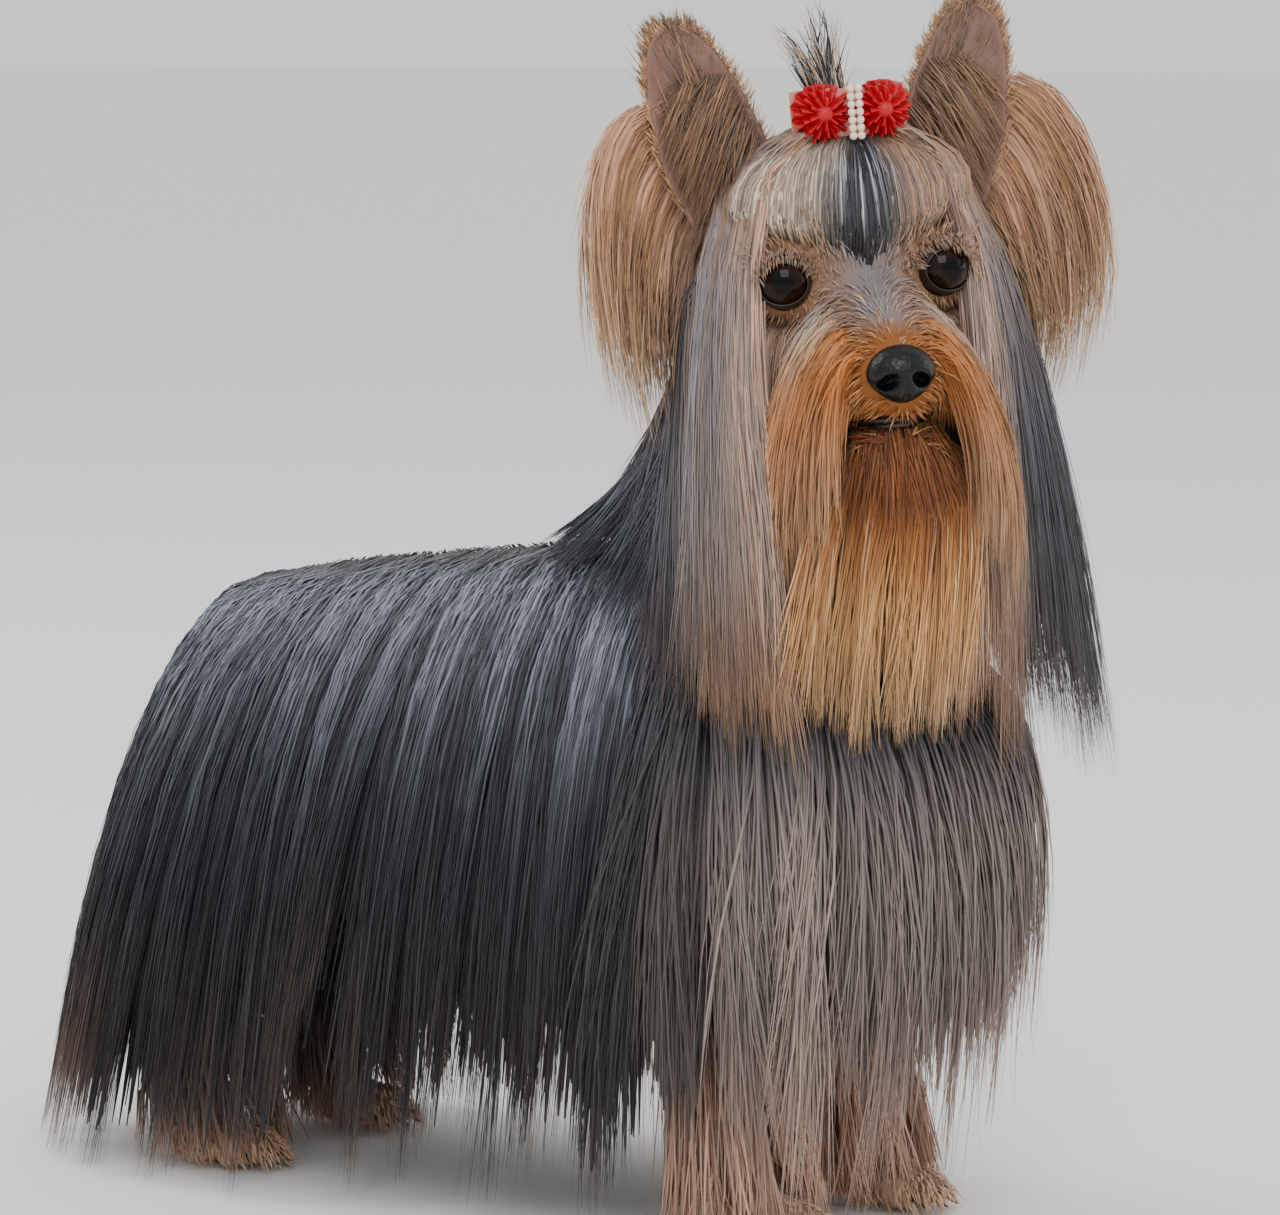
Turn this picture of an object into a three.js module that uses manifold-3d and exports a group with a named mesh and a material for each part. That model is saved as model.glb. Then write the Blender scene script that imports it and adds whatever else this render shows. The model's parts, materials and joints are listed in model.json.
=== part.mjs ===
// A Yorkshire terrier in full show coat, standing with its head turned to its right, as a life-size still model.
// Millimetres, +Z up. The dog faces -Y, and its right side is -X. The soles stand on z = 0.
// The flesh is lofted from rows of sections, and the long silky coat is flat, tapered locks set along its lie:
// from the parting on the spine down to the floor, from the muzzle and cheeks down to the chest, and up to the bow.
import * as THREE from "three";
import { mergeVertices } from "three/addons/utils/BufferGeometryUtils.js";
import Module from "manifold-3d";

const wasm = await Module();
wasm.setup();

// Driving sizes
const gap = 0.3;
const lockDepth = 2.6;
const skullPlace = new THREE.Vector3(-3.5, -95, 283);
const headTurn = THREE.MathUtils.degToRad(-39);
const headRoll = THREE.MathUtils.degToRad(-4.5);
const shoulderAxis = { x: 0, y: -62 };
const chestFace = -60;

// Colours, as the eye sees them
const colours = {
  blue: 0x3b3e46,
  greyTan: 0x8d8078,
  tan: 0xb98258,
  gold: 0xc79a6d,
  orange: 0xb06a35,
  black: 0x14110f,
  eye: 0x20140d,
  pink: 0xa07868,
  red: 0xd01a2c,
  pearl: 0xe8cfc2,
};

const v3 = (x, y, z) => new THREE.Vector3(x, y, z);
const lerp = THREE.MathUtils.lerp;

// A seeded draw from 0 to 1, so that every build is the same.
function drawing(seed) {
  let state = seed;
  return () => {
    state = (state * 1664525 + 1013904223) % 4294967296;
    return state / 4294967296;
  };
}

// Solids

function solid(geometry, weld = 1e-3) {
  const bare = geometry.clone();
  bare.deleteAttribute("normal");
  bare.deleteAttribute("uv");
  const merged = mergeVertices(bare, weld);
  return new wasm.Manifold(
    new wasm.Mesh({
      numProp: 3,
      vertProperties: new Float32Array(merged.attributes.position.array),
      triVerts: new Uint32Array(merged.index.array),
    }),
  );
}

function geometryOf(made) {
  const mesh = made.getMesh();
  const places = new Float32Array(mesh.numVert * 3);
  for (let i = 0; i < mesh.numVert; i++) {
    const start = i * mesh.numProp;
    places.set(mesh.vertProperties.subarray(start, start + 3), i * 3);
  }
  const geometry = new THREE.BufferGeometry();
  geometry.setAttribute("position", new THREE.BufferAttribute(places, 3));
  geometry.setIndex(new THREE.BufferAttribute(new Uint32Array(mesh.triVerts), 1));
  geometry.computeVertexNormals();
  return geometry;
}

const join = (pieces) => wasm.Manifold.union(pieces);

// The largest closed surface alone: a sealed hollow is filled and a loose scrap is dropped.
function largest(made) {
  const bodies = made.decompose();
  return bodies.reduce((a, b) => (b.volume() > a.volume() ? b : a));
}

// A solid from places and faces, turned right side out.
function closed(places, faces) {
  const geometry = new THREE.BufferGeometry();
  geometry.setAttribute("position", new THREE.Float32BufferAttribute(places, 3));
  geometry.setIndex(faces);
  const made = solid(geometry);
  if (made.volume() > 0) return made;
  for (let i = 0; i < faces.length; i += 3) [faces[i], faces[i + 1]] = [faces[i + 1], faces[i]];
  geometry.setIndex(faces);
  return solid(geometry);
}

// Closed surface through rings of points, each ring with the same count, with a fan at either end.
function skinned(rings) {
  const count = rings[0].length;
  const places = [];
  const faces = [];
  rings.forEach((ring) => ring.forEach((p) => places.push(p.x, p.y, p.z)));
  for (let i = 0; i + 1 < rings.length; i++) {
    for (let j = 0; j < count; j++) {
      const a = i * count + j;
      const b = i * count + ((j + 1) % count);
      faces.push(a, b, b + count, a, b + count, a + count);
    }
  }
  for (const [ring, start, turn] of [
    [rings[0], 0, -1],
    [rings[rings.length - 1], (rings.length - 1) * count, 1],
  ]) {
    const middle = ring.reduce((sum, p) => sum.add(p), v3(0, 0, 0)).divideScalar(count);
    const centre = places.length / 3;
    places.push(middle.x, middle.y, middle.z);
    for (let j = 0; j < count; j++) {
      const a = start + j;
      const b = start + ((j + 1) % count);
      faces.push(centre, ...(turn > 0 ? [a, b] : [b, a]));
    }
  }
  return closed(places, faces);
}

// Loft along a bent line of oval sections: each row is [centre, half width, half height], and grow thickens it all over.
// The section's width lies along side, and its height along the line's tangent crossed with side.
function limb(rows, side, grow = 0, corners = 12) {
  const line = rows.map(([centre]) => centre);
  const rings = rows.map(([centre, wide, high], i) => {
    const tangent = line[Math.min(i + 1, line.length - 1)].clone().sub(line[Math.max(i - 1, 0)]).normalize();
    const across = side.clone().addScaledVector(tangent, -side.dot(tangent)).normalize();
    const up = tangent.clone().cross(across);
    const end = i === 0 ? -grow : i === rows.length - 1 ? grow : 0;
    return Array.from({ length: corners }, (_, j) => {
      const angle = (j / corners) * 2 * Math.PI;
      return centre
        .clone()
        .addScaledVector(tangent, end)
        .addScaledVector(across, (wide + grow) * Math.cos(angle))
        .addScaledVector(up, (high + grow) * Math.sin(angle));
    });
  });
  return skinned(rings);
}

const identity = new THREE.Matrix4();

function ball(centre, radii, spin = identity, around = 12, tall = 8) {
  const geometry = new THREE.SphereGeometry(1, around, tall);
  geometry.scale(radii.x, radii.y, radii.z);
  geometry.applyMatrix4(spin);
  geometry.translate(centre.x, centre.y, centre.z);
  return solid(geometry);
}

const ballOf = (centre, radius, spin, around, tall) => ball(centre, v3(radius, radius, radius), spin, around, tall);

const roomSize = 900;

// All the space on one side of a plane: where the axis is under (sign -1) or over (sign 1) the limit.
function room(axis, sign, limit) {
  const centre = v3(0, 0, 0).setComponent("xyz".indexOf(axis), limit + (sign * roomSize) / 2);
  const geometry = new THREE.BoxGeometry(roomSize, roomSize, roomSize);
  geometry.translate(centre.x, centre.y, centre.z);
  return solid(geometry);
}

// A flat lock of hair: three-sided sections along a path, widest past its middle, tapering to a tip.
// outward gives the side that its ridge faces at each point of the path, and grow thickens it all over.
function lock(path, outward, width, grow = 0, depth = lockDepth) {
  const last = path.length - 1;
  const places = [];
  const faces = [];
  path.forEach((p, i) => {
    const u = i / last;
    if (i === last) {
      const end = p.clone().sub(path[i - 1]).setLength(3 * grow).add(p);
      places.push(end.x, end.y, end.z);
      return;
    }
    const tangent = path[i + 1].clone().sub(path[Math.max(i - 1, 0)]).normalize();
    const across = tangent.clone().cross(outward(u, p)).normalize();
    const ridge = across.clone().cross(tangent);
    const fullness = u < 0.55 ? lerp(0.6, 1, u / 0.55) : lerp(1, 0.6, (u - 0.55) / 0.45);
    const half = (width / 2) * fullness + 2 * grow;
    const rise = depth * (u < 0.6 ? 1 : lerp(1, 0.55, (u - 0.6) / 0.4));
    for (const corner of [
      p.clone().addScaledVector(across, -half).addScaledVector(ridge, -grow),
      p.clone().addScaledVector(across, half).addScaledVector(ridge, -grow),
      p.clone().addScaledVector(ridge, rise + 1.5 * grow),
    ]) {
      places.push(corner.x, corner.y, corner.z);
    }
  });
  for (let i = 0; i + 1 < last; i++) {
    for (let j = 0; j < 3; j++) {
      const a = i * 3 + j;
      const b = i * 3 + ((j + 1) % 3);
      faces.push(a, b, b + 3, a, b + 3, a + 3);
    }
  }
  const tip = last * 3;
  for (let j = 0; j < 3; j++) faces.push(tip - 3 + j, tip - 3 + ((j + 1) % 3), tip);
  faces.push(0, 2, 1);
  return closed(places, faces);
}

// Points of a path at even steps of its own parameter.
const steps = (count, at) => Array.from({ length: count }, (_, i) => at(i / (count - 1)));

const dog = new THREE.Group();

function place(name, colour, roughness, made, holder = dog) {
  const material = new THREE.MeshStandardMaterial({ color: colour, roughness, metalness: 0 });
  const welded = largest(solid(geometryOf(made.simplify(0.01)), 1e-3));
  const mesh = new THREE.Mesh(geometryOf(welded), material);
  mesh.name = name;
  holder.add(mesh);
  return mesh;
}

// Places and turns on the head: local x to the dog's left, local y backward, z up, from the middle of the skull.
const headSpin = new THREE.Matrix4().makeRotationFromEuler(new THREE.Euler(0, headRoll, headTurn, "ZYX"));
const onHead = (x, y, z) => v3(x, y, z).applyMatrix4(headSpin).add(skullPlace);
const headSide = v3(1, 0, 0).applyMatrix4(headSpin);
const headDirection = (x, y, z) => v3(x, y, z).applyMatrix4(headSpin);

// A place round the shoulders: bearing in degrees from straight ahead, positive to the dog's left.
function roundShoulders(bearing, radius, z) {
  const angle = THREE.MathUtils.degToRad(bearing);
  return v3(shoulderAxis.x + radius * Math.sin(angle), shoulderAxis.y - radius * Math.cos(angle), z);
}

// Value at x read from rows of [x, value], straight between rows.
function between(rows, x) {
  let i = 1;
  while (i < rows.length - 1 && x > rows[i][0]) i++;
  const [[x0, a], [x1, b]] = [rows[i - 1], rows[i]];
  return lerp(a, b, THREE.MathUtils.clamp((x - x0) / (x1 - x0), 0, 1));
}

function bezier(points, u) {
  const [a, b, c, d] = points;
  return v3(0, 0, 0)
    .addScaledVector(a, (1 - u) ** 3)
    .addScaledVector(b, 3 * (1 - u) ** 2 * u)
    .addScaledVector(c, 3 * (1 - u) * u * u)
    .addScaledVector(d, u ** 3);
}

// A fall of coat is a surface at(s, t, inward): s across the fall, t from its roots to its hem, inward its depth.
// Its outward side is found from the surface itself, away from a middle.
function facing(at, middle) {
  const step = 0.01;
  return (s, t) => {
    const low = Math.max(s - step, 0);
    const high = Math.min(s + step, 1);
    const along = at(s, Math.min(t + step, 1), 0).sub(at(s, Math.max(t - step, 0), 0));
    const across = at(high, t, 0).sub(at(low, t, 0));
    const normal = along.cross(across).normalize();
    return normal.dot(at(s, t, 0).sub(middle)) < 0 ? normal.negate() : normal;
  };
}

// A fall as a plain solid, from its outward side in to a depth.
function drape(at, columns, rows, depth, from = 0.06, to = 0.99) {
  const grid = [0, depth].map((inward) =>
    steps(columns, (s) => steps(rows, (t) => at(lerp(0.01, 0.99, s), lerp(from, to, t), inward))),
  );
  const places = [];
  const faces = [];
  const index = (side, i, j) => (side * columns + i) * rows + j;
  grid.forEach((side) => side.forEach((column) => column.forEach((p) => places.push(p.x, p.y, Math.max(p.z, 2.5)))));
  const quad = (a, b, c, d) => faces.push(a, b, c, a, c, d);
  for (let i = 0; i + 1 < columns; i++) {
    for (let j = 0; j + 1 < rows; j++) {
      quad(index(0, i, j), index(0, i + 1, j), index(0, i + 1, j + 1), index(0, i, j + 1));
      quad(index(1, i, j), index(1, i, j + 1), index(1, i + 1, j + 1), index(1, i + 1, j));
    }
    quad(index(0, i, 0), index(1, i, 0), index(1, i + 1, 0), index(0, i + 1, 0));
    quad(index(0, i, rows - 1), index(0, i + 1, rows - 1), index(1, i + 1, rows - 1), index(1, i, rows - 1));
  }
  for (let j = 0; j + 1 < rows; j++) {
    quad(index(0, 0, j), index(0, 0, j + 1), index(1, 0, j + 1), index(1, 0, j));
    quad(index(0, columns - 1, j), index(1, columns - 1, j), index(1, columns - 1, j + 1), index(0, columns - 1, j + 1));
  }
  return closed(places, faces);
}

// Locks of a fall in tiers: [count, root t, tip t, inward, width, points].
// Each is rooted deep under the fall's side, and its lie is drawn a little at random.
function locks(at, outward, tiers, seed, grow = 0, root = 12, ragged = 0.07) {
  const draw = drawing(seed);
  const made = [];
  tiers.forEach(([count, first, last, inward, width, points], tier) => {
    for (let i = 0; i < count; i++) {
      const s = (i + (tier % 2 ? 0.75 : 0.35)) / (count + 0.1);
      const sway = (draw() - 0.5) * 0.25 / count;
      const start = first + (draw() - 0.5) * 0.04;
      const end = last - draw() * ragged;
      const path = steps(points, (u) => {
        const t = lerp(start, end, u);
        return at(THREE.MathUtils.clamp(s + sway * u, 0.01, 0.99), t, inward + (u === 0 ? root : 0));
      });
      path[points - 1].z = Math.max(path[points - 1].z, 2.5);
      made.push(lock(path, (u) => outward(s, lerp(start, end, u)), width * lerp(0.92, 1.08, draw()), grow));
    }
  });
  return made;
}

// Trunk: stations along the spine, as [y, centre z, half width, half height] of the flesh and undercoat
const trunkRows = [
  [-103, 146, 9, 10],
  [-98, 147, 21, 24],
  [-84, 149, 30, 33],
  [-60, 150, 35, 38],
  [-25, 150, 38, 38],
  [20, 151, 37, 34],
  [58, 151, 34, 30],
  [90, 146, 31, 28],
  [108, 141, 22, 22],
  [114, 139, 8, 8],
];

function trunk(grow = 0) {
  const rows = trunkRows.map(([y, z, wide, high]) => [v3(0, y, z), wide, high]);
  return limb(rows, v3(1, 0, 0), grow, 16);
}

const neckRows = [
  [0, -62, 160, 26],
  [-1, -77, 200, 27],
  [-2, -90, 235, 27],
  [-3, -94, 268, 26],
];

function neck(grow = 0) {
  return limb(
    neckRows.map(([x, y, z, r]) => [v3(x, y, z), r, r]),
    v3(1, 0, 0),
    grow,
    12,
  );
}

const tailRows = [
  [103, 162, 7],
  [114, 160, 7],
  [120, 149, 6],
  [121, 136, 4],
];

function tail(grow = 0) {
  return limb(
    tailRows.map(([y, z, r]) => [v3(0, y, z), r, r]),
    v3(1, 0, 0),
    grow,
    7,
  );
}

// Legs: [x, y, z, half width, half depth] down the dog's left leg
const legRows = {
  front: [
    [29, -76, 119, 11, 16],
    [31, -73, 98, 10, 13],
    [31, -76, 70, 8, 9],
    [31, -81, 40, 7.5, 8],
    [31, -85, 20, 8, 8.5],
    [31, -88, 7, 9, 10],
  ],
  hind: [
    [28, 82, 124, 12, 21],
    [31, 80, 108, 12, 19],
    [33, 82, 85, 9.5, 15],
    [33, 103, 62, 7.5, 10],
    [33, 113, 46, 7, 8.5],
    [33, 111, 22, 7.5, 8],
    [33, 108, 7, 9, 10],
  ],
};
const pawReach = 13;

function leg(kind, side, grow = 0) {
  const rows = legRows[kind];
  const limbs = limb(
    rows.map(([x, y, z, wide, deep]) => [v3(side * x, y, z), wide, deep]),
    v3(1, 0, 0),
    grow,
    8,
  );
  const [x, y] = rows[rows.length - 1];
  const pieces = [limbs, ball(v3(side * x, y - 3, 7.5), v3(12 + grow, 17 + grow, 9.5 + grow), identity, 8, 5)];
  for (const [across, ahead] of [
    [-8, -pawReach - 1],
    [-2.8, -pawReach - 5],
    [2.8, -pawReach - 5],
    [8, -pawReach - 1],
  ]) {
    const toe = v3(side * x + across, y + ahead, 5.5);
    pieces.push(ball(toe, v3(4 + grow, 6.5 + grow, 6.3 + grow), identity, 6, 4));
  }
  return join(pieces).intersect(room("z", 1, 0));
}

// Head flesh, on the head's own axes
const skullRadii = v3(33, 36, 29);
const muzzleRows = [
  [-14, -14, 22, 20],
  [-36, -25, 18.5, 17],
  [-52, -31.5, 17, 14.5],
  [-60, -33, 13, 11],
];
const jawRows = [
  [-12, -34, 17, 12],
  [-36, -46, 13, 8.5],
  [-52, -51.5, 10.5, 5.5],
];

function skull(grow = 0) {
  const radii = skullRadii.clone().addScalar(grow);
  const cranium = ball(onHead(0, 3, 0), radii, headSpin, 14, 9);
  const muzzle = limb(
    muzzleRows.map(([y, z, wide, high]) => [onHead(0, y, z), wide, high]),
    headSide,
    grow,
    12,
  );
  const jaw = limb(
    jawRows.map(([y, z, wide, high]) => [onHead(0, y, z), wide, high]),
    headSide,
    grow,
    10,
  );
  return join([cranium, muzzle, jaw]);
}

const eyePlace = (side) => onHead(side * 22.5, -23.5, -6);
const eyeRadius = 8;
const nosePlace = onHead(0, -64, -31);
const noseRadii = v3(9.5, 7, 8);

// Ears: [x, y, z, half width, half thickness] up the dog's left ear
const earRows = [
  [28, 3, 10, 15, 8],
  [34, 3, 30, 17, 7.5],
  [39, 3, 50, 14, 5],
  [42, 3, 62, 9.5, 3.2],
  [43, 3, 68, 5.5, 1.8],
];

function earSolid(side, grow = 0) {
  const rows = earRows.map(([x, y, z, wide, thick]) => [onHead(side * x, y, z), wide, thick]);
  return limb(rows, headSide, grow, 10);
}

function earCup(side) {
  const rows = earRows.slice(1, 4).map(([x, y, z, wide, thick], i) => [
    onHead(side * x, y - thick - 0.4, z + [-6, 0, 2][i]),
    wide - 3.2,
    thick * 1.15,
  ]);
  return limb(rows, headSide, 0, 8);
}

// Bow: two ruffled rosettes with a beaded strip between them, on a band with ribbon ends
const bowPlace = { x: 3, y: -13, z: 39 };
const rosetteRadii = v3(7.4, 5, 8.2);

function rosette(side, grow = 0) {
  const geometry = new THREE.SphereGeometry(1, 16, 10);
  const points = geometry.attributes.position;
  for (let i = 0; i < points.count; i++) {
    const [x, y, z] = [points.getX(i), points.getY(i), points.getZ(i)];
    const angle = Math.atan2(z, x);
    const rim = Math.hypot(x, z);
    const ruffle = 1 + 0.1 * rim * Math.cos(angle * 8);
    points.setXYZ(i, x * ruffle, y * (1 + 0.12 * Math.cos(rim * 9)), z * ruffle);
  }
  geometry.scale(rosetteRadii.x + grow, rosetteRadii.y + grow, rosetteRadii.z + grow);
  geometry.applyMatrix4(headSpin);
  const centre = onHead(bowPlace.x + side * 8.6, bowPlace.y, bowPlace.z);
  geometry.translate(centre.x, centre.y, centre.z);
  return solid(geometry);
}

function block(centre, size) {
  const geometry = new THREE.BoxGeometry(size.x, size.y, size.z);
  geometry.applyMatrix4(headSpin);
  const middle = onHead(centre.x, centre.y, centre.z);
  geometry.translate(middle.x, middle.y, middle.z);
  return solid(geometry);
}

// Coat of the trunk

// Height of the parting on the back
const backLine = [
  [-60, 197],
  [-20, 195],
  [40, 188],
  [76, 183],
  [101, 178],
];

// Plan of the trunk coat's hem
const hemHalfWidth = 71;
const hemStraight = { front: -60, rear: 76 };
const hemRearReach = 100;
const hemSquareness = 2.7;
const straightShare = 0.53;
const partingEnds = { front: -58, rear: 103 };

function hemPlan(s) {
  if (s < straightShare) return [hemHalfWidth, lerp(hemStraight.front, hemStraight.rear, s / straightShare)];
  const angle = (((s - straightShare) / (1 - straightShare)) * Math.PI) / 2;
  const power = 2 / hemSquareness;
  return [
    hemHalfWidth * Math.pow(Math.max(Math.cos(angle), 0), power),
    hemStraight.rear + hemRearReach * Math.pow(Math.sin(angle), power),
  ];
}

// The hem is high where the flank ends before the thigh, and sweeps the floor behind it.
const notch = { place: 0.42, width: 0.04, height: 42 };

function hemHeight(s) {
  const sweep = lerp(17, 4, THREE.MathUtils.smoothstep(s, notch.place, notch.place + 0.2));
  return sweep + notch.height * Math.exp(-Math.pow((s - notch.place) / notch.width, 2));
}

function trunkCoat(side) {
  return (s, t, inward) => {
    const [hemX, hemY] = hemPlan(s);
    const fromY = lerp(partingEnds.front, partingEnds.rear, Math.min(1, s * 1.15));
    const top = between(backLine, fromY);
    const rear = THREE.MathUtils.smoothstep(s, straightShare, 1);
    const bend = [0, lerp(0.56, 0.36, rear), lerp(0.8, 0.74, rear), 1];
    const drop = [0, 0, 54, top - hemHeight(s)];
    const weights = [(1 - t) ** 3, 3 * (1 - t) ** 2 * t, 3 * (1 - t) * t * t, t ** 3];
    const out = weights.reduce((sum, w, i) => sum + w * bend[i], 0);
    const down = weights.reduce((sum, w, i) => sum + w * drop[i], 0);
    const slope = THREE.MathUtils.smoothstep(t, 0, 0.45);
    const away = v3(side * hemX, hemY - fromY, 0).normalize();
    return v3(side * hemX * out, lerp(fromY, hemY, out), top - down)
      .addScaledVector(away, -inward * slope)
      .add(v3(0, 0, -inward * (1 - slope)));
  };
}

// Radius round the shoulders at which the hair of the head comes to rest, by bearing
const headFallRadius = [
  [-166, 36],
  [-120, 40],
  [-96, 46],
  [-78, 60],
  [-60, 66],
  [-46, 69],
  [-10, 82],
  [12, 90],
  [34, 104],
  [62, 84],
  [96, 50],
  [120, 40],
  [166, 36],
];

// Coat of the chest, from the neck's foot out over the chest and round both shoulders
const chestHemRadius = [
  [-90, 68],
  [-34, 80],
  [0, 79],
  [34, 82],
  [90, 68],
];
const chestHemHeight = [
  [-90, 20],
  [-50, 28],
  [0, 40],
  [34, 56],
  [90, 30],
];
const chestBearings = [-91, 91];

function chestCoat(s, t, inward) {
  const bearing = lerp(...chestBearings, s);
  const radius = between(chestHemRadius, bearing);
  const under = Math.max(between(headFallRadius, bearing) - 14, 38);
  const at = bezier(
    [
      roundShoulders(bearing, 33, 178),
      roundShoulders(bearing, under - 2, 164),
      roundShoulders(bearing, radius + 9, 122),
      roundShoulders(bearing, radius, between(chestHemHeight, bearing)),
    ],
    t,
  );
  const away = roundShoulders(bearing, 1, 0).sub(roundShoulders(bearing, 0, 0));
  return at.addScaledVector(away, -inward * THREE.MathUtils.smoothstep(t, 0, 0.4)).add(v3(0, 0, -inward * (1 - t) ** 2));
}

// Mane, from the crest of the neck down to the withers and shoulders
function mane(s, t, inward) {
  const bearing = lerp(96, 264, s);
  const aside = Math.abs(s - 0.5) * 2;
  const at = bezier(
    [
      roundShoulders(bearing, 21, 262).add(v3(-3, -26, 0)),
      roundShoulders(bearing, 30, 246).add(v3(-2, -19, 0)),
      roundShoulders(bearing, 29, 213).add(v3(0, -4, 0)),
      roundShoulders(bearing, lerp(52, 44, aside), lerp(201, 190, aside)),
    ],
    t,
  );
  const away = roundShoulders(bearing, 1, 0).sub(roundShoulders(bearing, 0, 0));
  return at.addScaledVector(away, -inward);
}

// A fall of the head: a root row on the skull by turn from straight ahead, hung to a hem row round the shoulders
function headFall(rootTurn, rootHeight, hemBearing, hemHeight, spread, flare) {
  return (s, t, inward) => {
    const turn = THREE.MathUtils.degToRad(lerp(...rootTurn, s));
    const height = between(rootHeight, s);
    const shrink = Math.sqrt(Math.max(0.1, 1 - (height / (skullRadii.z + 3)) ** 2));
    const outward = headDirection(Math.sin(turn), -Math.cos(turn), 0);
    const root = onHead(
      (skullRadii.x + 3) * shrink * Math.sin(turn),
      3 - (skullRadii.y + 3) * shrink * Math.cos(turn),
      height,
    );
    const bearing = between(hemBearing, s);
    const hem = roundShoulders(bearing, between(headFallRadius, bearing), between(hemHeight, s));
    const at = bezier(
      [
        root,
        root.clone().addScaledVector(outward, lerp(spread, 7, s)).add(v3(0, 0, -6)),
        hem.clone().lerp(root, lerp(flare, 0.55, s)).setZ(lerp(hem.z, root.z, 0.45)),
        hem,
      ],
      t,
    );
    const away = roundShoulders(bearing, 1, 0).sub(roundShoulders(bearing, 0, 0));
    return at.addScaledVector(outward, -inward * (1 - t)).addScaledVector(away, -inward * t);
  };
}

const fallHeights = {
  right: [
    [0, 152],
    [0.5, 160],
    [0.68, 200],
    [1, 218],
  ],
  left: [
    [0, 152],
    [0.3, 144],
    [0.5, 154],
    [0.68, 198],
    [1, 218],
  ],
};
const fallBearings = {
  right: [
    [0, -49],
    [0.5, -80],
    [1, -166],
  ],
  left: [
    [0, 0],
    [0.5, 56],
    [1, 166],
  ],
};
const fallRoots = [
  [0, -14],
  [0.15, -3],
  [0.3, 3],
  [1, 7],
];
const fallRight = headFall([-50, -172], fallRoots, fallBearings.right, fallHeights.right, 20, 0.15);
const fallLeft = headFall([50, 172], fallRoots, fallBearings.left, fallHeights.left, 22, 0.38);

// Beard, from the lips and chin down the front of the chest
function beard(s, t, inward) {
  const across = lerp(-1, 1, s);
  const bearing = lerp(-46, -4, s);
  const root = onHead(across * 15, -48 + 10 * across * across, -48);
  const hem = roundShoulders(bearing, between(headFallRadius, bearing), 155 + 4 * across * across);
  const away = roundShoulders(bearing, 1, 0).sub(roundShoulders(bearing, 0, 0));
  const at = bezier(
    [
      root,
      root.clone().addScaledVector(away, 9).addScaledVector(headSide, across * 8).add(v3(0, 0, -10)),
      hem.clone().lerp(root, 0.1).setZ(lerp(hem.z, root.z, 0.5)).addScaledVector(away, 3),
      hem,
    ],
    t,
  );
  return at.addScaledVector(away, -inward);
}

// Moustache, from beside the nose over the sides of the muzzle
function moustache(side) {
  return (s, t, inward) => {
    const root = onHead(side * lerp(8, 17, s), lerp(-54, -30, s), lerp(-26, -17, s));
    const hem = onHead(side * lerp(24, 34, s), lerp(-50, -30, s), lerp(-62, -92, s));
    const outward = headDirection(side, lerp(-0.9, -0.2, s), 0).normalize();
    const at = bezier(
      [
        root,
        root.clone().addScaledVector(outward, 9).add(v3(0, 0, 2)),
        hem.clone().addScaledVector(outward, 5).setZ(lerp(hem.z, root.z, 0.55)),
        hem,
      ],
      t,
    );
    return at.addScaledVector(outward, -inward);
  };
}

// Forehead hair, swept up from the brows to the bow
function forehead(s, t, inward) {
  const across = lerp(-1, 1, s);
  const root = onHead(across * 27, -26 + 12 * across * across, 2 + 3 * Math.abs(across));
  const tip = onHead(bowPlace.x + across * 13, -9 + 3 * across * across, 32);
  const outward = headDirection(across * 0.5, -1, 0.1).normalize();
  const up = headDirection(0, 0, 1);
  const at = bezier(
    [
      root,
      root.clone().addScaledVector(outward, 9).addScaledVector(up, 11),
      tip.clone().addScaledVector(outward, 11).addScaledVector(up, -5),
      tip,
    ],
    t,
  );
  return at.addScaledVector(outward, -inward * (1 - t)).addScaledVector(up, -inward * t);
}

// Topknot, sprayed up out of the bow
function topknot(s, t, inward) {
  const angle = lerp(-Math.PI, Math.PI, s);
  const lean = v3(Math.sin(angle), -Math.cos(angle), 0);
  const foot = v3(bowPlace.x - 1, -5, 40);
  const start = foot.clone().addScaledVector(lean, 3 - inward);
  const end = foot.clone().addScaledVector(lean, 12 - inward).add(v3(-4, 2, 42 - 8 * Math.abs(lean.x)));
  const at = start.clone().lerp(end, t).addScaledVector(lean, 2.5 * Math.sin(t * Math.PI));
  return onHead(at.x, at.y, at.z);
}

// Fringe, hung from the outer edge and back of an ear
function fringe(side) {
  return (s, t, inward) => {
    const root = onHead(side * lerp(49, 41, s), lerp(3, 8, s), lerp(42, 16, s));
    const hem = onHead(side * lerp(66, 50, s), lerp(-2, 14, s), lerp(-40, -52, s));
    const outward = headDirection(side, lerp(-0.2, 0.7, s), 0).normalize();
    const at = bezier(
      [
        root,
        root.clone().addScaledVector(outward, lerp(17, 10, s)).add(v3(0, 0, -1)),
        hem.clone().addScaledVector(outward, lerp(15, 6, s)).setZ(lerp(hem.z, root.z, 0.52)),
        hem,
      ],
      t,
    );
    return at.addScaledVector(outward, -inward);
  };
}

// Feathering of a leg, hung round it to the floor
function feather(kind, side) {
  const [high, foot] = kind === "front" ? [92, -82] : [88, 100];
  return (s, t, inward) => {
    const angle = lerp(-2.3, 2.3, s) + Math.PI;
    const away = v3(Math.sin(angle), -Math.cos(angle), 0);
    const z = lerp(high, 5, t);
    const line = legRows[kind].map((row) => [-row[2], row[1]]);
    const at = v3(side * 32, lerp(between(line, -z), foot, 0.5 * t), z);
    return at.addScaledVector(away, 10 + 13 * Math.pow(t, 0.7) - inward);
  };
}

// Face: lids round the eyes, the line of the mouth, and the nostrils

const lidThickness = 1.5;

function lids() {
  return [-1, 1].map((side) => ballOf(eyePlace(side), eyeRadius + lidThickness, headSpin, 10, 6));
}

function lidOpening(side) {
  return ball(onHead(side * 23.5, -34, -6), v3(6.9, 10, 6.4), headSpin, 10, 5);
}

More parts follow.
